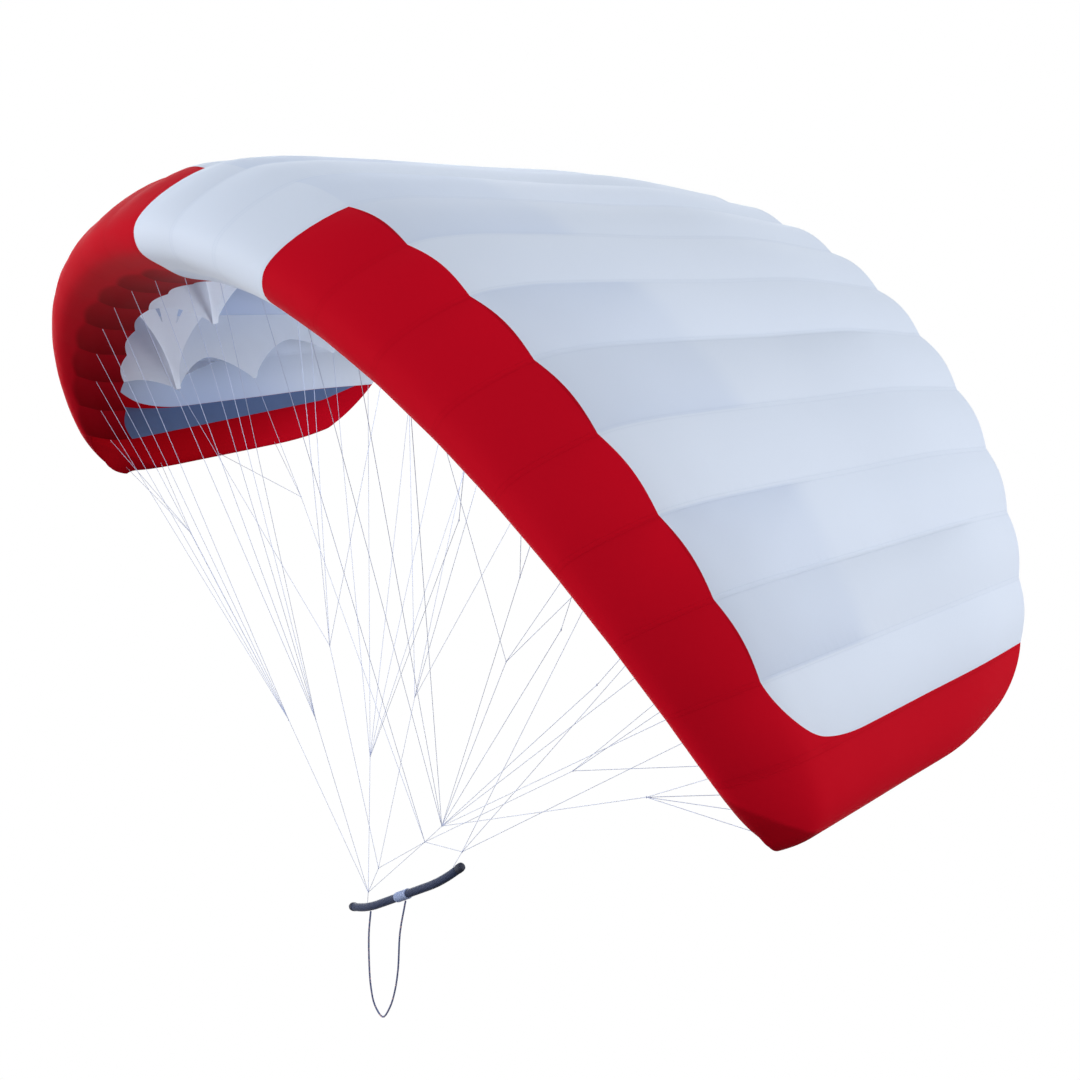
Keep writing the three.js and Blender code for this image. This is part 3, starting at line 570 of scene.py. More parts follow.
# %% A sheet of cloth
def cloth_sheet(name, points, coordinates, finishes, keep=None, finish_index=None, places=None):
    """A mesh from points in columns and rows. keep says which squares are cloth."""
    columns, rows = points.shape[0] - 1, points.shape[1] - 1
    keep = np.ones((columns, rows), bool) if keep is None else keep
    number = np.arange((columns + 1) * (rows + 1)).reshape(columns + 1, rows + 1)
    squares = np.stack([number[:-1, :-1], number[1:, :-1], number[1:, 1:], number[:-1, 1:]], -1)[keep]
    used, faces = np.unique(squares, return_inverse=True)
    faces = faces.reshape(-1, 4)
    mesh = bpy.data.meshes.new(name)
    mesh.from_pydata(points.reshape(-1, 3)[used].tolist(), [], faces.tolist())
    for layer_name, values in (("cloth", coordinates), ("place", places)):
        if values is not None:
            layer = mesh.uv_layers.new(name=layer_name)
            layer.data.foreach_set("uv", values.reshape(-1, 2)[squares.ravel()].ravel())
    for finish in finishes:
        mesh.materials.append(finish)
    if finish_index is not None:
        mesh.polygons.foreach_set("material_index", finish_index[keep].astype(np.int32))
    mesh.polygons.foreach_set("use_smooth", np.ones(len(faces), bool))
    mesh.update()
    made = bpy.data.objects.new(name, mesh)
    bpy.context.scene.collection.objects.link(made)
    return made


def mesh_area(points, keep):
    """The area of the kept squares, from the cross products of their diagonals."""
    first = points[1:, 1:] - points[:-1, :-1]
    second = points[:-1, 1:] - points[1:, :-1]
    return float((np.linalg.norm(np.cross(first, second), axis=-1) / 2)[keep].sum())


LEAST_FILL = 0.301


def cut_flat(width, length, area):
    """Works out a flat cut's area and keeps nothing. A cut with deep curves fills as little as this
    share of its rectangle.
    """
    area = max(area, LEAST_FILL * width * length)


def hang(piece, node):
    """Hides the solid that a piece stands for and hangs the piece from the root."""
    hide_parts(node)
    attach(piece, "root")
    return piece


# %% [markdown]
# ## The skin
# The skin is one curved surface in three pieces: a white one with the middle of the nose, and a red
# nose and tip on each side. Between two ribs the pressure under the cloth swells each cell outward,
# and at a rib the cloth is held in, which gives the row of cushions that every such wing shows. The
# border between red and white runs along a seam behind the nose and rounds the corner at the tip.

# %% Rows and columns of the skin
NOSE_ROWS, REAR_ROWS, CELL_COLUMNS, CORNER_COLUMNS, TIP_COLUMNS = 30, 44, 14, 28, 24
LIP_ROW = round(LIP_SHARE * NOSE_ROWS)


def column_stations(first):
    """Stations from a rib to the tip rib. They close up where the border rounds its corner."""
    plain = np.linspace(first, CORNER_RIB, round((CORNER_RIB - first) * CELL_COLUMNS) + 1)
    turn = np.linspace(0, math.pi / 2, CORNER_COLUMNS + 1)[1:]
    return np.concatenate([plain, CORNER_RIB + np.sin(turn)])


def seam_spot(stations):
    part = np.clip(np.abs(stations) - CORNER_RIB, 0, 1)
    scallop = np.where(part > 0, 0, SEAM_SCALLOP * cell_share(stations))
    return SEAM_SPOT + scallop + CORNER_SPOTS * (1 - np.sqrt(1 - part ** 2))


def skin_spots(stations):
    """Spots of all rows at each station: some rows round the nose, then some over the rear."""
    stations = stations[:, None]
    seam = seam_spot(stations)
    nose = np.linspace(0, 1, NOSE_ROWS + 1)[None, :]
    plain = mix(LOWER_SCALLOP * cell_share(stations), seam, nose)
    past = np.abs(stations) - TIP_RIB
    lip = mix(seam * LIP_SHARE, LIP_SPOT, np.clip(past / LIP_REACH, 0, 1))
    lip = lip + LIP_ROUND * np.clip((past - LIP_START) / (1 - LIP_START), 0, 1) ** 2
    tip = mix(lip, seam, (nose - LIP_SHARE) / (1 - LIP_SHARE))
    rear = np.linspace(0, 1, REAR_ROWS + 1)[None, 1:]
    return np.concatenate([np.where(past >= 0, tip, plain), mix(seam, TAIL_SPOT, rear)], 1)


def keep_columns(keep):
    """The kept squares seen from each grid line across them."""
    grown = np.pad(keep, ((1, 1), (0, 0)))
    return grown[1:] | grown[:-1]


def skin_panel(name, node, stations, keep_square, finish):
    """One panel of the skin, from the squares of the whole grid that belong to it."""
    spots = skin_spots(stations)
    grid = np.broadcast_to(stations[:, None], spots.shape)
    points = cloth_point(grid, spots)
    run = np.linalg.norm(np.diff(points, axis=1), axis=-1).cumsum(1)
    run = np.concatenate([np.zeros((len(stations), 1)), run], 1)
    middle = np.abs(stations[1:] + stations[:-1])[:, None] / 2
    keep = keep_square(middle, np.arange(spots.shape[1] - 1)[None, :])
    places = np.stack([grid, section_of(grid, spots)[0]], -1)
    piece = cloth_sheet(name, points, np.stack([grid, run], -1), [finish], keep, None, places)
    hang(piece, node)
    area = mesh_area(points, keep)
    width = float(np.linalg.norm(np.diff(points[:, NOSE_ROWS], axis=0), axis=1)[keep.any(1)].sum())
    length = float((np.diff(run, axis=1) * keep_columns(keep)).sum(1).max())
    width = max(width, area / length)
    print(name, "flat", round(width, 2), "x", round(length, 2), "m, area", round(area, 3))
    cut_flat(width, length, area)


# %% The three panels
white_half = column_stations(0)
skin_panel(
    "skin_white", "canopy_white", np.concatenate([-white_half[:0:-1], white_half]),
    lambda middle, row: (row >= NOSE_ROWS) | (middle < SEAM_RIB), skin_white,
)
tip_columns = TIP_RIB + np.linspace(0, 1, TIP_COLUMNS + 1)[1:]
red_columns = np.concatenate([column_stations(SEAM_RIB), tip_columns])
for side, name in ((-1, "left"), (1, "right")):
    columns = red_columns if side > 0 else -red_columns[::-1]
    skin_panel(
        "skin_red_" + name, "canopy_red_" + name, columns,
        lambda middle, row: np.where(middle < TIP_RIB, row < NOSE_ROWS, row >= LIP_ROW),
        skin_red,
    )

# %% [markdown]
# ## The ribs
# Only three ribs of each half go deep. Each has three tabs for the lines, and between the tabs it is
# cut in arches, because cloth that carries nothing is only weight. The other ribs are short and hold
# the round nose. The last one is a long low rib where the tip turns down. A rib is flat, so it is a
# strip of columns from its lower edge to just under the skin, with slight tension folds along it.

# %% Edges of the ribs
LOAD_EDGE = [
    {"spot": "front arch", "back": 0.165, "up": -0.026},
    {"spot": "B tab", "back": 0.264, "up": -0.074},
    {"spot": "B arch", "back": 0.37, "up": 0.001},
    {"spot": "C tab", "back": 0.465, "up": -0.085},
    {"spot": "C arch", "back": 0.6, "up": 0.009},
    {"spot": "D tab", "back": 0.7, "up": -0.055},
]
LOAD_END, TAIL_ARCH_BACK, TAIL_ARCH_UP, ARCH_POWER = 0.86, 0.45, 0.2, 1.7
LOAD_RIBS, NOSE_RIBS, CLOSED_RIB, TIP_EDGE = (2, 5, 8), (1, 3, 4, 6, 7, 9), 10, 11
NOSE_RIB_END = 0.15
NOSE_RIB_EDGE = [(0.142, 0.1), (0.135, 0.03)]
CLOSED_RIB_END = 0.94
CLOSED_RIB_EDGE = [(0.8, -0.026), (0.15, -0.026)]
TAB_HALF = 0.009
RIB_CLEAR = 0.0006


def arch(start, top, end, steps=10):
    """Points of an arch from one tab to the next, between its two ends and highest at its top."""
    share = np.abs(np.linspace(-1, 1, 2 * steps + 1))[1:-1]
    is_first = np.arange(2 * steps - 1) < steps
    ends = np.where(is_first[:, None], start, end)
    backs = mix(top[0], ends[:, 0], share)
    ups = mix(top[1], ends[:, 1], share ** ARCH_POWER)
    return list(zip(backs, ups))


def load_edge(chord, first, last):
    """The lower edge of a deep rib, from its rear end forward, with its tabs and arches."""
    front, tab_b, arch_b, tab_c, arch_c, tab_d = [
        (row["back"] * chord, row["up"] * chord) for row in LOAD_EDGE
    ]
    tail = (mix(last[0], tab_d[0], TAIL_ARCH_BACK), mix(last[1], tab_d[1], TAIL_ARCH_UP))

    def tip(place):
        return [(place[0] + TAB_HALF, place[1]), (place[0] - TAB_HALF, place[1])]

    return [
        last, *arch(last, tail, tab_d), *tip(tab_d), *arch(tab_d, arch_c, tab_c), *tip(tab_c),
        *arch(tab_c, arch_b, tab_b), *tip(tab_b), *arch(tab_b, front, first),
    ]


def short_edge(rows):
    """The lower edge of a rib without tabs, through a few places in parts of the chord."""
    def edge(chord, first, last):
        return [last, *[(back * chord, up * chord) for back, up in rows]]
    return edge


# %% Making a rib
RIB_COLUMNS, RIB_ROWS, TOP_STEPS = 150, 12, 400
NOSE_CROWD, END_INSET = 1.4, 1e-5
FOLD_DEPTH, FOLDS_BACK, FOLDS_UP = 0.0012, 95, 30


def add_rib(name, station, end, edge_points, red_to, rear_finish=rib_white):
    """A flat rib from its edge up to the skin, red as far back as the colour seam."""
    origin, along, up, across, chord = wing_frame(station)
    spots = np.linspace(0, spot_at_back(end), TOP_STEPS)
    back, rise, _, out_back, out_up = section_of(station, spots)
    top_back = back * chord - RIB_CLEAR * out_back
    top_up = rise * chord - RIB_CLEAR * out_up
    turn_at = int(np.argmin(top_back))
    first, last = (top_back[0], top_up[0]), (top_back[-1], top_up[-1])
    edge = np.array(edge_points(chord, first, last))[::-1]
    nose = np.stack([top_back[:turn_at], top_up[:turn_at]], 1)[::-1]
    lower = np.concatenate([nose[nose[:, 0] < edge[0, 0]], edge])
    share = np.linspace(0, 1, RIB_COLUMNS + 1)
    columns = mix(top_back[turn_at] + END_INSET, last[0] - END_INSET, share ** NOSE_CROWD)
    low = np.interp(columns, lower[:, 0], lower[:, 1])
    high = np.interp(columns, top_back[turn_at:], top_up[turn_at:])
    height = np.linspace(0, 1, RIB_ROWS + 1)[None, :]
    backs = np.broadcast_to(columns[:, None], (len(columns), RIB_ROWS + 1))
    ups = mix(low[:, None], high[:, None], height)
    folds = FOLD_DEPTH * np.sin(backs * FOLDS_BACK + ups * FOLDS_UP)
    folds = folds * (1 - height) * np.sin(math.pi * height)
    points = origin + along * backs[..., None] + up * ups[..., None] + across * folds[..., None]
    is_rear = (backs[1:, 1:] + backs[:-1, 1:]) / 2 > red_to * chord
    piece = cloth_sheet(
        name.replace("rib_", "cloth_rib_"), points, np.stack([backs, ups], -1),
        [rib_red, rear_finish], None, is_rear,
    )
    hang(piece, name)
    whole = np.ones((RIB_COLUMNS, RIB_ROWS), bool)
    cut_flat(np.ptp(ups), np.ptp(columns), mesh_area(points, whole))


for side, word in ((-1, "left"), (1, "right")):
    for rib in LOAD_RIBS:
        red_to = 0 if rib == 2 else COLOUR_BACK
        add_rib(f"rib_load_{word}_{rib}", side * (rib - 0.5), LOAD_END, load_edge, red_to)
    for rib in NOSE_RIBS:
        red_to = 0 if rib == 1 else 1
        name = f"rib_nose_{word}_{rib}"
        add_rib(name, side * (rib - 0.5), NOSE_RIB_END, short_edge(NOSE_RIB_EDGE), red_to)
    name = f"rib_tip_{word}_{CLOSED_RIB}"
    # The tip rib gets the painted deep shade.
    add_rib(name, side * TIP_RIB, CLOSED_RIB_END, short_edge(CLOSED_RIB_EDGE), 0, rib_shaded)
print("ribs made:", 2 * (len(LOAD_RIBS) + len(NOSE_RIBS) + 1))

# %% [markdown]
# ## The slanted braces
# From a tab of each deep rib two triangles of cloth rise to the seams beside it. They spread the pull
# of the line there, and two short tapering slots near the top save weight. Each is a ruled sheet:
# straight from the tab to the seam, while its long sides flare toward the skin.

# %% Making the braces
BRACE_FRONT, BRACE_REAR, BRACE_FOOT = 0.155, 0.47, 0.006
BRACE_INSET, BRACE_DROP, BRACE_BEND = 0.0015, 0.004, 2.3
SLOT_LOW, SLOT_HIGH = 0.62, 0.92
BRACE_COLUMNS = [
    {"line": "front edge", "low": 0.0, "high": 0.0, "squares": 6},
    {"line": "first slot, front", "low": 0.34, "high": 0.23, "squares": 2},
    {"line": "first slot, rear", "low": 0.36, "high": 0.35, "squares": 6},
    {"line": "second slot, front", "low": 0.62, "high": 0.61, "squares": 2},
    {"line": "second slot, rear", "low": 0.64, "high": 0.74, "squares": 6},
    {"line": "rear edge", "low": 1.0, "high": 1.0, "squares": 0},
]
BRACE_ROWS = 50


def brace_shares(key):
    """Shares of the width at every column, below or above the slots."""
    made = []
    for row, after in zip(BRACE_COLUMNS, BRACE_COLUMNS[1:]):
        made.extend(np.linspace(row[key], after[key], row["squares"], endpoint=False))
    return np.array([*made, 1.0])


def add_brace(word, side, rib, toward):
    height = np.linspace(0, 1, BRACE_ROWS + 1)[None, :]
    opened = np.clip((height - SLOT_LOW) / (SLOT_HIGH - SLOT_LOW), 0, 1)
    share = mix(brace_shares("low")[:, None], brace_shares("high")[:, None], opened)
    foot_station = np.full(share.shape, side * (rib - 0.5))
    head_station = np.full(share.shape, side * (rib - 0.5 + toward))
    tab = LOAD_EDGE[1]
    foot_side, head_side = wing_frame(foot_station)[3], wing_frame(head_station)[3]
    bottom = at_place(foot_station, tab["back"] + mix(-BRACE_FOOT, BRACE_FOOT, share), tab["up"])
    bottom = bottom + foot_side * toward * side * BRACE_INSET
    spot = spot_at_back(mix(BRACE_FRONT, BRACE_REAR, share))
    top = cloth_point(head_station, spot) - cloth_normal(head_station, spot) * BRACE_DROP
    top = top - head_side * toward * side * BRACE_INSET
    points = mix(bottom, top, height[..., None])
    points[..., 1] = mix(bottom[..., 1], top[..., 1], height ** BRACE_BEND)
    middle = (height[:, 1:] + height[:, :-1]) / 2
    squares = np.concatenate([[row["line"]] * row["squares"] for row in BRACE_COLUMNS])
    is_slot = np.isin(squares, ["first slot, front", "second slot, front"])[:, None]
    keep = ~(is_slot & (middle > SLOT_LOW) & (middle < SLOT_HIGH))
    width = float(np.linalg.norm(points[-1, -1] - points[0, -1]))
    run = float(np.linalg.norm(np.diff(points[share.shape[0] // 2], axis=0), axis=1).sum())
    coordinates = np.stack([share * width, np.broadcast_to(height * run, share.shape)], -1)
    node = f"brace_{word}_{rib}_{'in' if toward < 0 else 'out'}"
    piece = cloth_sheet("cloth_" + node, points, coordinates, [brace_lit_white], keep)
    hang(piece, node)
    cut_flat(width, run, mesh_area(points, keep))


for side, word in ((-1, "left"), (1, "right")):
    for rib in LOAD_RIBS:
        for toward in (-1, 1):
            add_brace(word, side, rib, toward)
print("braces made:", 4 * len(LOAD_RIBS))

# %% [markdown]
# ## The lines
# The bridle is a set of trees: a few main lines from the bar, each of which splits again and again
# until every tab has its own. A table with one row for each join keeps that readable. The lines are
# pulled taut, so each is straight, and each join is a small spliced knot.

# %% Joins and cascades
LINE_WIDTH, KNOT_RADIUS = 0.0014, 0.003
KNOT_WIDTHS = (LINE_WIDTH * 0.6, LINE_WIDTH * 2.6, LINE_WIDTH * 0.6)
CLOTH, GAP, LINE_CLEAR = 0.001, 0.0003, 0.0005
JOINS = {
    "leftTipFront": (-1.100, 0.034, 0.679),
    "leftFront": (-0.450, -0.046, 0.349),
    "leftInner": (-0.240, -0.077, 0.444),
    "leftMiddle": (-0.350, 0.044, 0.577),
    "leftRear": (-0.320, 0.121, 0.231),
    "leftTipRear": (-1.030, 0.369, 0.724),
    "centreRear": (-0.170, 0.184, 0.447),
    "leftLow": (-0.080, -0.020, 0.052),
    "leftMain": (-0.120, -0.034, -0.035),
    "crossMain": (0.050, 0.047, 0.164),
    "rightFront": (0.120, 0.057, 0.238),
    "rightMain": (0.200, 0.061, 0.199),
    "rightRear": (0.350, 0.120, 0.758),
    "rightTipRear": (0.540, 0.160, 0.534),
    "rightTipFront": (0.980, 0.016, 0.709),
    "rightEight": (0.950, -0.080, 0.987),
    "rightSeven": (0.850, -0.089, 1.076),
    "rightSix": (0.720, -0.092, 1.151),
    "rightFive": (0.620, -0.167, 1.268),
}
CASCADES = [
    ("left_front", "leftFront", ["LA9", "LA8", "LA7", "LA6", "LA5"], "leftMain"),
    ("left_front", "leftTipFront", ["LA11", "LA10", "LB11"], "leftFront"),
    ("left_inner", "leftInner", ["LA4", "LA3", "LA2", "LA1", "LB5"], "leftMain"),
    ("left_middle", "leftMiddle", ["LB2", "LC5", "LC2", "LB8"], "leftLow"),
    ("left_rear", "leftRear", ["LD8", "LE10", "LE8", "LE6", "LE4"], "leftMain"),
    ("left_rear", "rightFive", ["RA5"], "leftRear"),
    ("left_tip", "leftTipRear", ["LC11", "LD11", "LC8"], "crossMain"),
    ("centre_rear", "centreRear", ["LD5", "LD2", "RC2", "RD2"], "leftLow"),
    ("main", "leftMain", [], "barLeft"),
    ("main", "leftLow", [], "leftMain"),
    ("main", "crossMain", ["RA1"], "leftMain"),
    ("main", "crossMain", [], "leftLow"),
    ("main", "crossMain", [], "rightMain"),
    ("main", "rightTipRear", ["RC8", "RD8", "RD11"], "crossMain"),
    ("main", "rightMain", ["RE2", "RE5", "RE9"], "barRight"),
    ("main", "rightFront", ["RA9", "RA4", "RA3", "RA2", "RB8"], "crossMain"),
    ("main", "rightRear", ["RC5", "RD5", "RB2"], "rightFront"),
    ("main", "rightTipFront", ["RA11", "RA10", "RB11", "RC11"], "rightFront"),
    ("main", "rightEight", ["RA8"], "rightFront"),
    ("main", "rightSeven", ["RA7"], "rightFront"),
    ("main", "rightSix", ["RA6", "RB5"], "rightFront"),
]
REAR_TAB = 0.985
TIP_TABS = {"A": 0.088, "B": 0.264, "C": 0.5, "D": 0.75}
TIP_TAB_STATION, TIP_TAB_INSET = 10.36, 0.005
BAR_CLEAR = 0.0011


# %% Ends of the lines
def beside_cloth(station, spot, out):
    return cloth_point(station, spot) + cloth_normal(station, spot) * out


def tab_place(code):
    """Place of a line's upper end, from a code such as LB5: side, row and rib."""
    side, row, rib = (-1 if code[0] == "L" else 1), code[1], int(code[2:])
    station = side * (rib - 0.5)
    clear = GAP + LINE_CLEAR
    if rib == TIP_EDGE:
        return beside_cloth(side * TIP_TAB_STATION, spot_at_back(TIP_TABS[row]), -TIP_TAB_INSET)
    if row == "E":
        return beside_cloth(station, spot_at_back(REAR_TAB), -CLOTH - clear)
    if row == "A":
        return beside_cloth(station, FRONT_SPOT, clear + LINE_CLEAR)
    edge = next(entry for entry in LOAD_EDGE if entry["spot"] == row + " tab")
    return at_place(station, edge["back"], edge["up"] - clear / float(wing_frame(station)[4]))


def foot_place(foot):
    if foot == "barLeft":
        return bar_point(LEFT_LINE, BAR_DIAMETER / 2 + BAR_CLEAR)
    if foot == "barRight":
        return bar_point(RIGHT_LINE, BAR_DIAMETER / 2 + BAR_CLEAR)
    return JOINS[foot]


# %% Making the lines
line_nodes = new_material("line")
line_twist = line_nodes.add("ShaderNodeTexNoise", None, {"Scale": 400.0, "Detail": 1.0})
line_nodes.shader(
    Base_Color=line_nodes.blend(line_twist, linear(205, 210, 232), linear(172, 180, 212)),
    Roughness=0.6,
    Normal=line_nodes.bump(line_twist, 0.0003),
)
line_finish = line_nodes.owner

for name in dict.fromkeys(row[0] for row in CASCADES):
    rows = [row for row in CASCADES if row[0] == name]
    ends = [[JOINS[join], tab_place(tab)] for _, join, tabs, _ in rows for tab in tabs]
    feet = [[JOINS[join], foot_place(foot)] for _, join, _, foot in rows]
    knots = []
    for join in dict.fromkeys(row[1] for row in rows):
        place = Vector(JOINS[join])
        knots.append([place - Vector((0, 0, KNOT_RADIUS)), place, place + Vector((0, 0, KNOT_RADIUS))])
    tree = curve_object("bridle_" + name, ends + feet, LINE_WIDTH / 2, 1)
    tree.data.materials.append(line_finish)
    for points in knots:
        spline = tree.data.splines.new("POLY")
        spline.points.add(2)
        for place, point, width in zip(spline.points, points, KNOT_WIDTHS):
            place.co = (*point, 1)
            place.radius = width / 2
    hang(tree, "lines_" + name)
print("lines made:", sum(len(row[2]) + 1 for row in CASCADES))

# %% [markdown]
# ## The bar
# The bar is a carbon tube that rises at both ends, with a moulded sleeve where one hand steers and a
# soft cap on each end. Carbon shows its woven ribbons as a fine chequer under clear lacquer, so the
# pattern goes into the colour and the bump, a mottle into the roughness, and a clear coat lies on top.

# %% Finishes of the bar
def carbon_finish():
    nodes = new_material("carbon")
    place = nodes.add("ShaderNodeTexCoord", None, None, 3)
    weave = nodes.add("ShaderNodeTexChecker", None, {"Vector": place, "Scale": 260.0}, 1)
    cloud = nodes.add("ShaderNodeTexNoise", None, {"Vector": place, "Scale": 40.0, "Detail": 3.0})
    colour = nodes.blend(weave * 0.5 + cloud * 0.3, linear(40, 46, 68), linear(66, 75, 104))
    nodes.shader(
        Base_Color=colour, Roughness=0.45 + cloud * 0.2, Specular_IOR_Level=0.08, Coat_Weight=0.04,
        Coat_Roughness=0.3, Normal=nodes.bump(weave, 0.0002, 0.4),
    )
    return nodes.owner


def moulded_finish(name, dark, light, roughness, grain):
    nodes = new_material(name)
    speckle = nodes.add("ShaderNodeTexNoise", None, {"Scale": grain, "Detail": 4.0})
    nodes.shader(
        Base_Color=nodes.blend(speckle, dark, light), Roughness=roughness + speckle * 0.15,
        Normal=nodes.bump(speckle, 0.0004, 0.5),
    )
    return nodes.owner


carbon = carbon_finish()
sleeve_grey = moulded_finish("sleeve_grey", linear(130, 144, 182), linear(150, 163, 199), 0.5, 300.0)
cap_rubber = moulded_finish("cap_rubber", linear(26, 29, 44), linear(44, 48, 70), 0.6, 700.0)
print("bar finishes made")


# %% Turned pieces along a line
AHEAD = 0.02


def place_on(line, share):
    """The place at a share of a line of points."""
    shares = np.linspace(0, 1, len(line))
    share = min(max(share, 0), 1)
    return Vector([np.interp(share, shares, [point[k] for point in line]) for k in range(3)])


def turned_piece(name, line, profile, finish, sides=40):
    """A round piece along a line. Each row of the profile is a share of the line and a radius."""
    rings = []
    for share, radius in profile:
        place = place_on(line, share)
        along = (place_on(line, share + AHEAD) - place_on(line, share - AHEAD)).normalized()
        across = (bar_turn @ Vector((0, 1, 0))).normalized()
        rise = along.cross(across).normalized()
        angles = np.linspace(0, 2 * math.pi, sides, endpoint=False)
        ring = [across * (radius * math.cos(a)) + rise * (radius * math.sin(a)) for a in angles]
        rings.append([place + step for step in ring])
    points = [tuple(p) for ring in rings for p in ring]
    faces = []
    for i in range(len(rings) - 1):
        for j in range(sides):
            k = (j + 1) % sides
            faces.append((i * sides + j, i * sides + k, (i + 1) * sides + k, (i + 1) * sides + j))
    faces.append(tuple(range(sides))[::-1])
    faces.append(tuple(range((len(rings) - 1) * sides, len(rings) * sides)))
    mesh = bpy.data.meshes.new(name)
    mesh.from_pydata(points, [], faces)
    mesh.materials.append(finish)
    mesh.polygons.foreach_set("use_smooth", np.ones(len(faces), bool))
    mesh.update()
    made = bpy.data.objects.new(name, mesh)
    bpy.context.scene.collection.objects.link(made)
    return made


# %% The tube, the sleeve and the caps
tube_line = [bar_point(along) for along in np.linspace(-BAR_LENGTH / 2, BAR_LENGTH / 2, 61)]
tube_profile = [(share, BAR_DIAMETER / 2) for share in np.linspace(0, 1, 61)]
hang(turned_piece("bar_carbon_tube", tube_line, tube_profile, carbon), "bar_tube")

sleeve_line = [bar_point(-SLEEVE_LENGTH / 2), bar_point(SLEEVE_LENGTH / 2)]
sleeve_radius = SLEEVE_DIAMETER / 2
sleeve_profile = [(0, sleeve_radius - 0.002), (0.01, sleeve_radius - 0.0006), (0.03, sleeve_radius)]
for groove in np.linspace(0.2, 0.8, 7):
    sleeve_profile += [
        (groove - 0.025, sleeve_radius), (groove - 0.01, sleeve_radius - 0.0008),
        (groove + 0.01, sleeve_radius - 0.0008), (groove + 0.025, sleeve_radius),
    ]
sleeve_profile += [(0.97, sleeve_radius), (0.99, sleeve_radius - 0.0006), (1, sleeve_radius - 0.002)]
hang(turned_piece("bar_grip_sleeve", sleeve_line, sleeve_profile, sleeve_grey), "bar_sleeve")

CAP_PROFILE = [(0, 0.0112), (0.04, 0.012), (0.55, 0.0118), (0.8, 0.0108), (0.93, 0.0085), (1, 0.005)]
for side, word in ((-1, "left"), (1, "right")):
    end = bar_point(side * BAR_LENGTH / 2)
    out = (end - bar_point(side * (BAR_LENGTH / 2 - 0.004))).normalized()
    cap_line = [end + out * GAP, end + out * (GAP + CAP_LENGTH)]
    cap = turned_piece(f"bar_end_cap_{word}", cap_line, CAP_PROFILE, cap_rubber)
    hang(cap, f"bar_cap_{word}")
print("bar made")

# %% [markdown]
# ## The loop's braid
# The loop is braided cord with a few pale flecks. A fine wave with some distortion gives the braid's
# relief, and a noise with a hard limit scatters the flecks.

# %% Finish of the loop
loop_nodes = new_material("braid")
loop_place = loop_nodes.add("ShaderNodeTexCoord", None, None, 3)
braid = loop_nodes.add(
    "ShaderNodeTexWave", None, {"Vector": loop_place, "Scale": 120.0, "Distortion": 2.0}, 1
)
flecks = loop_nodes.add(
    "ShaderNodeTexNoise", None, {"Vector": loop_place, "Scale": 220.0, "Detail": 2.0}
)
fleck_mask = 1 - flecks.below(0.62, 0.02)
loop_nodes.shader(
    Base_Color=loop_nodes.blend(fleck_mask, linear(92, 102, 140), linear(214, 168, 168)),
    Roughness=0.7,
    Normal=loop_nodes.bump(braid, 0.0006, 0.6),
)
loop.data.materials.append(loop_nodes.owner)
print("loop finish made")

# %% [markdown]
# ## Light and floor
# The photograph has the light of a studio with large soft boxes around the wing: the cloth is brightest
# where it faces the horizon and a little bluer and darker where it faces straight up. So the world
# itself holds the boxes. Each is a broad spot of light in one direction, made from the cosine of the
# angle to it, and a weak blue sky fills in between. The floor lies well under the wing and rises far
# away into a white dome, so every view has a plain ground. Only the camera sees it: it sends no light
# back and stops none, so the underside of the wing keeps its shade. A small lamp in the hollow stands
# for the light that comes through the cloth there.

# %% World
SOFT_BOXES = [(240, 10, 3.5), (60, 10, 3.0), (0, 40, 0.6), (150, -20, 4.6)]
BOX_FOCUS = 6.0
SKY_STRENGTH = 0.4
LOW_LIGHT, HIGH_LIGHT = (1.0, 0.98, 0.96, 1), (0.86, 0.94, 1.0, 1)

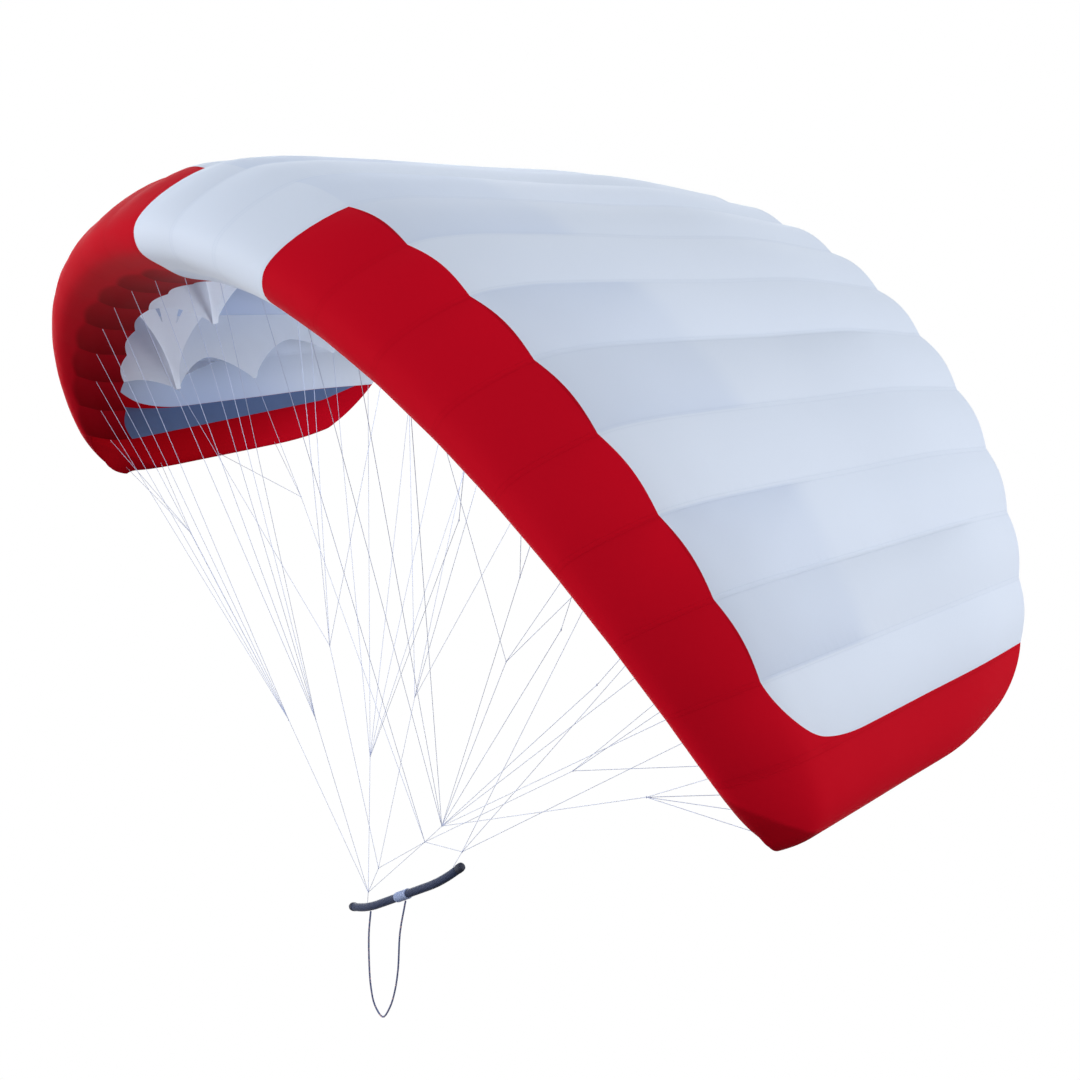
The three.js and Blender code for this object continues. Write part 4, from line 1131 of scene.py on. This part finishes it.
world = bpy.data.worlds.new("studio")
bpy.context.scene.world = world
sky = Nodes(world)
direction = sky.add("ShaderNodeTexCoord")
height = sky.add("ShaderNodeSeparateXYZ", None, {0: direction}, 2)
light = (height * 0.5 + 0.5) * SKY_STRENGTH
for azimuth, elevation, strength in SOFT_BOXES:
    level = math.cos(math.radians(elevation))
    toward = (
        level * math.cos(math.radians(azimuth)), level * math.sin(math.radians(azimuth)),
        math.sin(math.radians(elevation)),
    )
    cosine = sky.add("ShaderNodeVectorMath", {"operation": "DOT_PRODUCT"}, {0: direction, 1: toward}, 1)
    light = light + cosine.most(0.0) ** BOX_FOCUS * strength
warmth = (height * 0.5 + 0.5).least(1.0)
sky.feed(sky.tree.nodes["Background"].inputs["Color"], sky.blend(warmth, LOW_LIGHT, HIGH_LIGHT))
sky.feed(sky.tree.nodes["Background"].inputs["Strength"], light)
bpy.context.scene.view_settings.view_transform = "Standard"
print("world made")


# %% Lamp and floor
def soft_lamp(name, place, target, size, power, colour):
    """A square lamp that the camera doesn't see, turned toward its target."""
    data = bpy.data.lights.new(name, "AREA")
    data.size, data.energy, data.color = size, power, colour
    lamp = bpy.data.objects.new(name, data)
    lamp.location = place
    lamp.rotation_mode = "QUATERNION"
    lamp.visible_camera = False
    lamp.rotation_quaternion = (Vector(target) - Vector(place)).to_track_quat("-Z", "Y")
    bpy.context.scene.collection.objects.link(lamp)
    return lamp


soft_lamp("hollow_fill", (0.15, 0.4, 1.35), (-1.2, 0.2, 1.2), 0.5, 4.5, (0.85, 0.92, 1.0))

FLOOR_HEIGHT, DOME_RADIUS = -1.2, 60.0
floor_mesh = bpy.data.meshes.new("floor")
dome = bmesh.new()
bmesh.ops.create_uvsphere(dome, u_segments=48, v_segments=24, radius=DOME_RADIUS)
for vertex in dome.verts:
    vertex.co.z = max(vertex.co.z, FLOOR_HEIGHT)
dome.to_mesh(floor_mesh)
dome.free()
floor = bpy.data.objects.new("floor", floor_mesh)
bpy.context.scene.collection.objects.link(floor)
floor_nodes = new_material("floor_white")
floor_nodes.shader(
    Base_Color=(0.0, 0.0, 0.0, 1), Roughness=1.0, Specular_IOR_Level=0.0,
    Emission_Color=(1, 1, 1, 1), Emission_Strength=1.0,
)
floor_mesh.materials.append(floor_nodes.owner)
floor.visible_diffuse = floor.visible_glossy = floor.visible_transmission = floor.visible_shadow = False
print("floor made")
